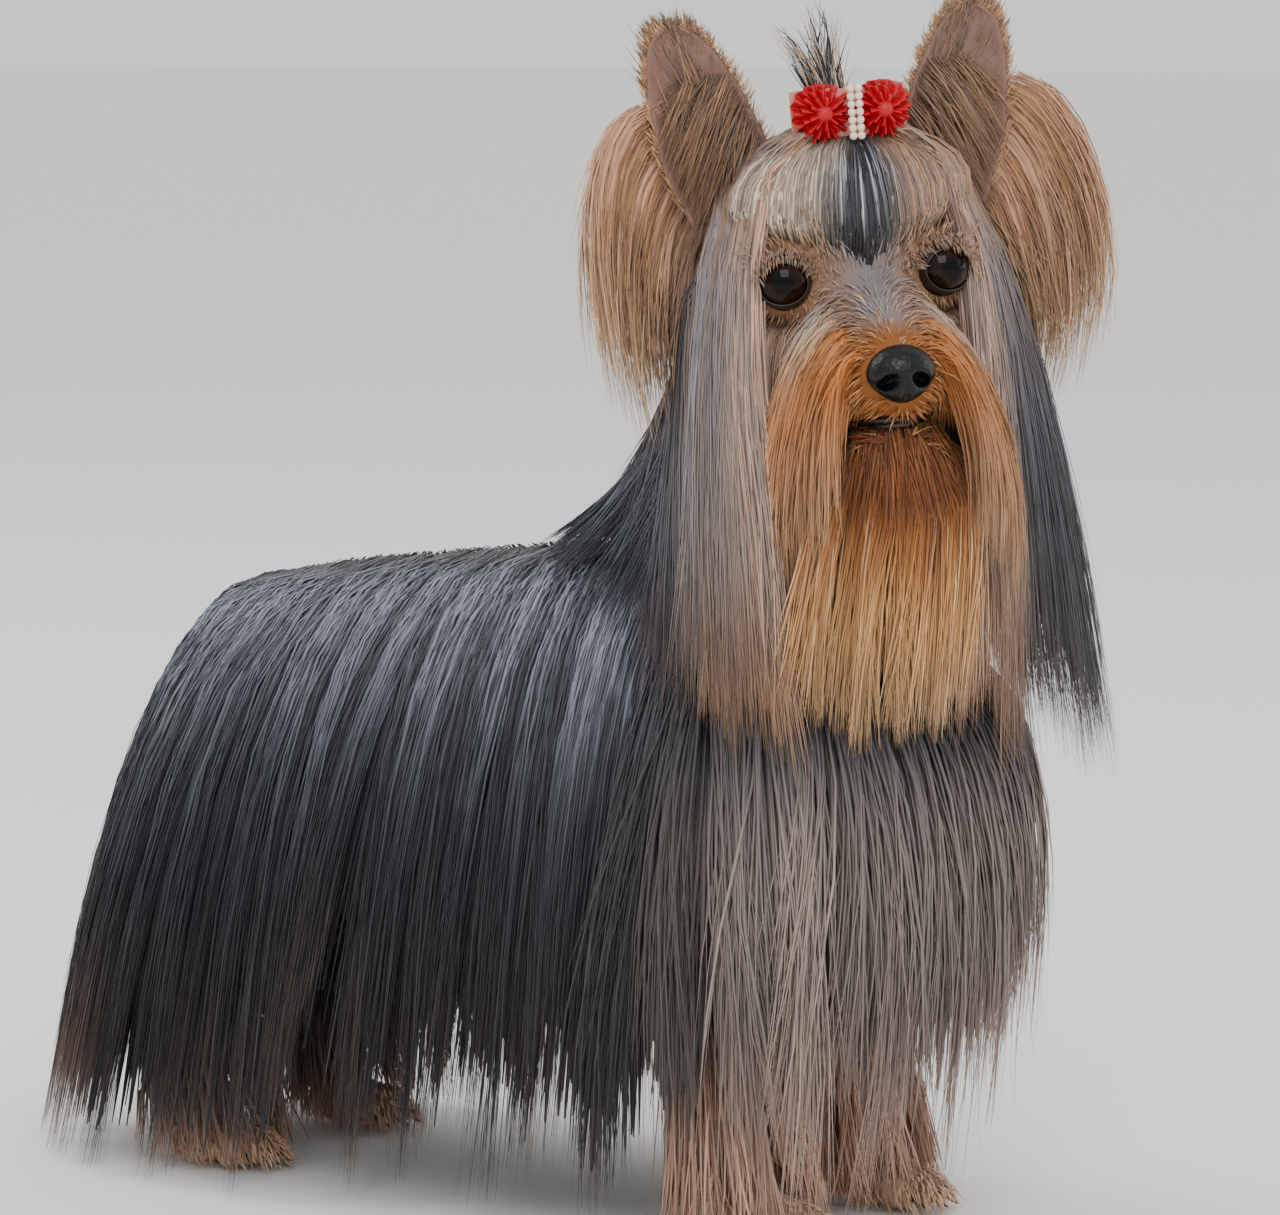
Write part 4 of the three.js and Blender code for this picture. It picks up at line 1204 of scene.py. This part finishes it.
def build_coat(coat):
    for name, side in (("right", -1), ("left", 1)):
        at = trunk_coat(side)
        # The under locks are darkened as painted shade.
        under = strands(
            at, 380, 6, 8.0, in_painted_shade(trunk_tint, 0.6),
            roots=(0.02, 0.5), ends=(0.88, 1.0), depth=(6, 11), wave=0.3, clumps=60, gather=0.1,
        )
        over = strands(
            at, 1000, 6, 1.9, trunk_tint,
            roots=(0.0, 0.3), ends=(0.88, 1.0), depth=(2, 6), clumps=34, gather=0.5, wave=1.2, sink=2.0,
            ragged=0.07,
        )
        fine = strands(
            at, 3600, 6, 0.82, trunk_tint,
            roots=(0.0, 0.22), ends=(0.88, 1.04), depth=(-1.2, 3), clumps=34, gather=0.55, wave=1.4,
            stray=0.9, sink=1.5, ragged=0.07,
        )
        add_hair(f"flank_under_{name}", under, coat, [f"torso_{name}"])
        add_hair(f"flank_{name}", merged([over, fine]), coat, [f"torso_{name}"])
    # The chest's under locks are darkened as painted shade.
    under = strands(
        chest_coat, 340, 6, 7.0, in_painted_shade(chest_tint, 0.6),
        roots=(0.05, 0.4), ends=(0.84, 0.97), depth=(7, 12), wave=0.3, clumps=50, gather=0.1,
    )
    over = strands(
        chest_coat, 700, 7, 2.2, chest_tint,
        roots=(0.02, 0.35), ends=(0.86, 1.02), depth=(2, 8), clumps=26, gather=0.75, wave=2.0,
        ragged=0.1,
    )
    fine = strands(
        chest_coat, 2300, 7, 0.95, chest_tint,
        roots=(0.02, 0.3), ends=(0.84, 1.08), depth=(-2, 7), clumps=22, gather=0.85, wave=2.4, stray=1.8,
        drift=0.8, ragged=0.12,
    )
    add_hair("chest_under", under, coat, ["chest"])
    add_hair("chest_hair", merged([over, fine]), coat, ["chest"])

    fine = strands(
        mane, 1000, 5, 1.0, mane_tint,
        roots=(0.0, 0.5), depth=(-1, 5), clumps=24,
    )
    wide = strands(
        mane, 260, 5, 4.0, mane_tint,
        roots=(0.0, 0.4), ends=(0.8, 0.97), depth=(3, 8), clumps=24,
    )
    add_hair("mane_hair", merged([fine, wide]), coat, ["neck"])
    fine = strands(
        crown, 1200, 6, 0.9, crown_tint,
        roots=(0.0, 0.5), ends=(0.6, 1.0), depth=(-1, 3), clumps=26, gather=0.4,
    )
    wide = strands(
        crown, 160, 6, 3.5, crown_tint,
        roots=(0.0, 0.1), depth=(2, 4), clumps=26, gather=0.2,
    )
    add_hair("crown_hair", merged([fine, wide]), coat, ["head"])

    for name, side, at in (("right", -1, fall_right), ("left", 1, fall_left)):
        tint = fall_tint(side > 0)
        # The deeper wide locks of a fall are darkened as painted shade.
        wide = strands(
            at, 300, 6, 3.0, in_painted_shade(tint, 0.75),
            roots=(0.0, 0.12), ends=(0.86, 0.98), depth=(2, 7), clumps=20, gather=0.6, ragged=0.1,
        )
        fine = strands(
            at, 1800, 6, 0.7, tint,
            roots=(0.0, 0.12), ends=(0.88, 1.08), depth=(-1, 5), clumps=20, gather=0.8, wave=1.4,
            stray=0.8, ragged=0.1,
        )
        over = strands(
            temple(side, at), 1700, 6, 0.65, temple_tint(side > 0),
            roots=(0.0, 0.1), ends=(0.84, 1.08), depth=(-1, 4), clumps=16, gather=0.7, wave=1.4,
            stray=0.7, ragged=0.12,
        )
        add_hair(f"fall_hair_{name}", merged([wide, fine, over]), coat, [f"fall_{name}"])
        face = strands(
            cheek(side), 1000, 7, 0.65, cheek_tint,
            roots=(0.0, 0.2), ends=(0.75, 1.0), depth=(-1, 4), clumps=16, gather=0.5, wave=0.9,
            stray=0.6,
        )
        lip = strands(
            moustache(side), 1400, 7, 0.75, moustache_tint,
            roots=(0.0, 0.2), ends=(0.4, 1.0), depth=(-2, 5), clumps=18, gather=0.45, wave=0.9,
            stray=0.7,
        )
        add_hair(f"face_hair_{name}", merged([face, lip]), coat, ["head"])
        edge = strands(
            fringe(side), 1600, 6, 0.64, fringe_tint,
            roots=(0.0, 0.2), ends=(0.65, 1.04), depth=(-3, 3), clumps=14, gather=0.8, wave=1.8,
            stray=1.8, drift=0.9, ragged=0.2, sink=1.0,
        )
        back = strands(
            fringe(side), 110, 6, 2.2, fringe_tint,
            roots=(0.0, 0.1), ends=(0.7, 0.85), depth=(2, 4), clumps=14, gather=0.7, sink=0.5,
            ragged=0.2,
        )
        add_hair(f"fringe_hair_{name}", merged([edge, back]), coat, [f"ear_{name}"])

    wide = strands(
        beard, 200, 6, 3.0, beard_tint,
        roots=(0.0, 0.1), ends=(0.88, 0.98), depth=(3, 8), clumps=11, gather=0.6, ragged=0.08,
    )
    fine = strands(
        beard, 1600, 6, 0.8, beard_tint,
        roots=(0.0, 0.15), ends=(0.86, 1.08), depth=(-1, 5), clumps=11, gather=0.7, wave=1.3, stray=0.8,
        ragged=0.08,
    )
    add_hair("beard_hair", merged([wide, fine]), coat, ["beard"])

    brow = strands(
        forehead, 2500, 6, 0.7, forehead_tint,
        roots=(0.0, 0.12), ends=(0.92, 1.0), depth=(-0.5, 4), clumps=22, gather=0.25, wave=0.4,
        stray=0.25, drift=0.3,
    )
    add_hair("forehead_hair", brow, coat, ["head"])
    spray = strands(
        topknot, 230, 9, 0.6, topknot_tint,
        roots=(0.0, 0.08), ends=(0.35, 1.0), depth=(-2, 6), clumps=7, gather=0.6, wave=1.6, stray=1.4,
        ragged=0.3,
    )
    add_hair("topknot_hair", spray, coat, ["topknot"])

    for name, side in (("right", -1), ("left", 1)):
        for kind, count in (("front", 900), ("hind", 450)):
            at = feather(kind, side)
            tint = feather_tint if kind == "front" else hind_tint
            wide = strands(
                at, 80, 5, 4.5, tint,
                roots=(0.0, 0.3), ends=(0.8, 0.97), depth=(3, 8), clumps=12,
            )
            fine = strands(
                at, count, 5, 0.95, tint,
                roots=(0.0, 0.8), depth=(-2, 7), clumps=12, gather=0.5, wave=1.2, stray=1.2,
            )
            locks = merged([wide, fine])
            add_hair(f"leg_hair_{kind}_{name}", locks, coat, [f"leg_{kind}_{name}"])


def face_flow(x, y, z):
    """The lie of the fur in the head's own axes: back from the nose, then out and down, or up to the bow."""
    ahead = smoothstep(-y, 30, 44)
    up = smoothstep(z, -14, -3)
    face = vector(np.tanh(x / 8) * 0.7, 0.25, lerp(-1.0, 0.9, up))
    off = smoothstep(np.abs(x), 3, 12)
    muzzle = vector(np.tanh(x / 4) * 0.8, lerp(0.9, 0.3, off), lerp(0.1, -1.1, off))
    return lerp(face, muzzle, col(ahead))


def face_fur(skin):
    """Short fur all over the face, rooted in the skin itself, but for the eyes, the nose and the mouth."""
    count = 8500
    faces = skin.data.polygons
    centre = read(faces, "center") / MILLIMETRE - STANDING
    area = read(faces, "area", 1)[:, 0]
    x, y, z = ((centre - SKULL_PLACE) @ HEAD_MATRIX).T
    eye = np.hypot(np.abs(x) - EYE_PLACE[0], z - EYE_PLACE[2])
    nose = np.hypot(x / 9.2, (z - NOSE_PLACE[2]) / 7.4)
    grows = (y < 14) & (z > -58) & (z < 22) & ((eye > 6.8) | (y > -12)) & ((nose > 0.92) | (y > -48))
    grows &= (np.abs(z + 44.6) > 1.5) | (np.abs(x) > 12) | (y > -44)
    pick = random.choice(len(faces), count, p=area * grows / np.sum(area * grows))
    normal = read(faces, "normal")[pick]
    shift = random.normal(0, 0.7, (count, 3))
    shift -= normal * np.sum(shift * normal, axis=1, keepdims=True)
    x, y, z, eye = x[pick], y[pick], z[pick], eye[pick]
    flow = face_flow(x, y, z)
    near_eye = 1.8 * np.exp(-((eye / 12) ** 2)) * (y < -8)
    flow += vector((np.abs(x) - EYE_PLACE[0]) * np.sign(x), 0, z - EYE_PLACE[2]) * col(near_eye / eye)
    flow = head_direction(*flow.T)
    flow = unit(flow - normal * np.sum(flow * normal, axis=1, keepdims=True))
    from_nose = np.linalg.norm(np.stack([x, y, z], axis=1) - NOSE_PLACE, axis=1)
    length = lerp(3.2, 9, smoothstep(eye, 8, 22)) * lerp(0.5, 1, smoothstep(from_nose, 10, 26))
    length *= random.uniform(0.7, 1.3, count)
    brow = smoothstep(z, -4, 3) * smoothstep(np.abs(x), 6, 13) * (y < -10)
    length = lerp(length, 12, brow * smoothstep(eye, 7, 12))
    beside_mouth = smoothstep(np.abs(x), 8, 13) * (y < -30)
    length = lerp(length, 15, beside_mouth)
    root = centre[pick] + shift
    # The fur takes the skin's colour brightened back out of its painted shade.
    colour = skin_tint(root) * 1.6
    colour = mix(colour, TAUPE, random.random(count) * 0.55 * (1 - smoothstep(-y, 34, 44)))
    colour = mix(colour, ORANGE_PALE * 0.8, (random.random(count) > 0.7) * 0.6 * smoothstep(-y, 34, 44))
    chart = np.stack([np.arctan2(x, -y) / (2 * math.pi) + 0.5, (z + 60) / 84], axis=1)
    lift = 1.0 + 3.0 * brow + 1.5 * beside_mouth
    return comb(root, normal, flow, length, lift, 0.2, 3, 0.6, colour, chart)


def lid_fur(side):
    """Short hair from the brow over the upper edge of the eye."""
    count = 180
    angle = np.radians(random.uniform(10, 170, count))
    out = random.uniform(7.6, 10.5, count)
    across, up = np.cos(angle), np.sin(angle)
    lid_front = -29.0 + 0.16 * (out - 7) ** 2
    root = on_head(side * EYE_PLACE[0] + out * across, lid_front, EYE_PLACE[2] + out * up)
    normal = unit(head_direction(across * 0.3, -1, 0.4))
    flow = unit(head_direction(-across * 0.35 + side * 0.25, -0.35, -0.75 * up - 0.1))
    colour = mix(TAN * 0.7 + 0 * col(across), TAUPE * 0.8, random.random(count))
    chart = np.stack([0.5 + side * 0.2 + 0.1 * across, 0.6 + 0.1 * up], axis=1)
    return comb(root, normal, flow, random.uniform(1.8, 3.6, count), 0.8, 0.1, 3, 0.5, colour, chart)


def chin_fur():
    """Short hair of the chin, from under the lower lip."""
    count = 700
    across = random.uniform(-1, 1, count)
    root = on_head(across * 14, -56 + 12 * across**2, random.uniform(-56, -46.5, count))
    normal = unit(head_direction(across * 0.5, -1, -0.2))
    flow = unit(head_direction(across * 0.3, -0.05, -1))
    colour = mix(ORANGE * 0.75 + 0 * col(across), RUST, random.random(count))
    chart = np.stack([(across + 1) / 2, random.random(count)], axis=1)
    return comb(root, normal, flow, random.uniform(6, 22, count), 1.6, 0.1, 3, 0.55, colour, chart)


def ear_fur(side):
    """Short fur on the back of the ear, fine down and a tuft in its cup, and a trimmed edge."""
    parts = []
    for inside, count, reach, lengths, width in (
        (False, 900, (0.02, 0.97), (3, 6), 0.8),
        (True, 900, (0.02, 0.97), (4, 8), 0.35),
        (True, 240, (0.02, 0.5), (12, 26), 0.5),
    ):
        across = random.uniform(-0.95, 0.95, count) * (0.6 if lengths[1] > 20 else 1)
        up = random.uniform(*reach, count)
        x, y, z = ear_point(side, across, up)
        face = -1.0 if inside else 1.0
        root = on_head(x, y + face * 0.8, z)
        normal = unit(head_direction(across * 0.5 * face, face, 0.1))
        flow = unit(head_direction(across * 0.3 + side * 0.35, 0.1, 0.9))
        if inside:
            colour = mix(TAUPE * 0.6 + 0 * col(across), TAN * 0.8, random.random(count))
        else:
            colour = mix(TAN * 0.8 + 0 * col(across), HEM_BROWN, random.random(count))
        chart = np.stack([(across + 1) / 2, up * 0.45 + (0.5 if inside else 0.02)], axis=1)
        length = random.uniform(*lengths, count)
        parts.append(comb(root, normal, flow, length, 0.7, 0.0, 3, width, colour, chart))
    count = 600
    edge = np.where(random.random(count) > 0.5, 1.0, -1.0) * random.uniform(0.88, 1.0, count)
    up = random.uniform(0.05, 1.0, count)
    x, y, z = ear_point(side, edge, up)
    normal = unit(head_direction(edge, -0.6, 0))
    flow = unit(head_direction(edge * 0.35, -0.1, lerp(0.5, 1.0, up)))
    colour = mix(TAN * 0.9 + 0 * col(edge), GOLD, random.random(count))
    chart = np.stack([(edge + 1) / 2, 0.02 + 0.9 * up], axis=1)
    length = random.uniform(2.5, 7, count) * lerp(1, 0.55, up)
    parts.append(comb(on_head(x, y, z), normal, flow, length, 0.5, 0.0, 3, 0.55, colour, chart))
    count = 1000
    across = random.uniform(-1.0, 0.1, count) * side
    up = random.uniform(0.02, 0.6, count)
    x, y, z = ear_point(side, across, up)
    normal = unit(head_direction(0 * across, -1, 0.1))
    flow = unit(head_direction(side * lerp(0.35, 0.8, up), -0.25, -0.75))
    colour = mix(TAN * 0.8 + 0 * col(across), HEM_BROWN * 1.1, random.random(count))
    chart = np.stack([(across + 1) / 2, 0.02 + 0.9 * up], axis=1)
    length = random.uniform(9, 25, count)
    parts.append(comb(on_head(x, y - 1, z), normal, flow, length, 1.6, 0.35, 3, 0.42, colour, chart))
    return merged(parts)


def paw_fur():
    parts = []
    for side in (-1, 1):
        for rows in LEGS.values():
            count = 550
            x0, y0 = side * rows[-1][0], rows[-1][1]
            turn = random.uniform(-math.pi, math.pi, count)
            height = random.uniform(-0.2, 1, count)
            level = np.sqrt(np.maximum(0, 1 - height**2))
            x, y, z = 10.5 * level * np.sin(turn), -19 * level * np.cos(turn), 8 * height
            root = vector(x0 + x, y0 - 6 + y, 7 + z)
            normal = unit(vector(x / 110, y / 360, z / 64))
            flow = unit(vector(np.sign(x) * 0.3, -0.7, -0.8) - normal * 0.2)
            colour = mix(PEACH + 0 * col(x), GOLD_PALE * 0.8, random.random(count))
            chart = np.stack([(turn + math.pi) / 6.3, (height + 0.2) / 1.25], axis=1)
            length = random.uniform(3, 8, count)
            parts.append(comb(root, normal, flow, length, 1.5, 0.2, 3, 0.8, colour, chart))
    return merged(parts)


def build_short_fur(coat, skin):
    face = merged([face_fur(skin), lid_fur(-1), lid_fur(1), chin_fur()])
    add_hair("face_fur", face, coat, ["head"])
    for name, side in (("right", -1), ("left", 1)):
        add_hair(f"ear_fur_{name}", ear_fur(side), coat, [f"ear_{name}"])
    add_hair("paw_fur", paw_fur(), coat, LEG_NODES)


# Stage


def build_stage():
    deselect()
    bpy.ops.mesh.primitive_plane_add(size=60)
    floor = bpy.context.active_object
    floor.name = "floor"
    floor.data.materials.append(material("pale_floor", linear("#f4f3f1"), 0.8)[0])
    world = bpy.data.worlds.new("studio")
    bpy.context.scene.world = world
    world.use_nodes = True
    sky = world.node_tree.nodes["Background"]
    sky.inputs["Color"].default_value = (1, 1, 1, 1)
    sky.inputs["Strength"].default_value = 1.0
    for name, place, size, power in (
        ("key", (-1.6, -1.3, 1.9), 1.4, 34),
        ("fill", (1.5, -1.8, 1.0), 1.6, 12),
        ("rim", (-0.4, 1.8, 1.8), 1.4, 22),
    ):
        light = bpy.data.lights.new(name, "AREA")
        light.size = size
        light.energy = power
        lamp = bpy.data.objects.new(name, light)
        bpy.context.scene.collection.objects.link(lamp)
        lamp.location = place
        aim = Vector((0, -0.02, 0.17)) - lamp.location
        lamp.rotation_euler = aim.to_track_quat("-Z", "Y").to_euler()


def build_camera():
    azimuth, elevation, distance = math.radians(-56), math.radians(6.5), 1.5
    target = Vector((-0.005, -0.039, 0.176))
    back = Vector((
        math.sin(azimuth) * math.cos(elevation),
        -math.cos(azimuth) * math.cos(elevation),
        math.sin(elevation),
    ))
    lens = bpy.data.cameras.new("camera")
    lens.sensor_width = 36
    lens.lens = 5150 * 36 / 1280
    camera = bpy.data.objects.new("camera", lens)
    bpy.context.scene.collection.objects.link(camera)
    camera.location = target + back * distance
    camera.rotation_euler = (-back).to_track_quat("-Z", "Y").to_euler()
    bpy.context.scene.camera = camera


def keep(piece, slot, *nodes):
    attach(piece, "root")
    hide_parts(*nodes)


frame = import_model()
build_camera()
build_stage()
looks = make_materials()

skin = build_skin(looks["skin"])
keep(skin, "coat_tan", "torso_right", "torso_left", "chest", "neck", "head", "tail", *LEG_NODES)
keep(build_nose(looks["nose"]), "nose", "nose")
keep(build_mouth(looks["lip"]), "nose", "head")
keep(build_claws(looks["claw"]), "nose", *LEG_NODES)
for name, side in (("right", -1), ("left", 1)):
    ball, lids = build_eye(side, looks["eye"], looks["lid"])
    keep(ball, "eye", f"eye_{name}")
    keep(lids, "nose", "head")
    keep(build_ear(side, looks["ear"]), "coat_tan", f"ear_{name}")
    keep(build_rosette(side, looks["ribbon"]), "ribbon", f"bow_{name}")
beads, band = build_bow_centre(looks["bead"], looks["salmon"])
keep(beads, "beads", "bow_centre")
keep(band, "ribbon", "bow_centre")
build_coat(looks["coat"])
build_short_fur(looks["coat"], skin)
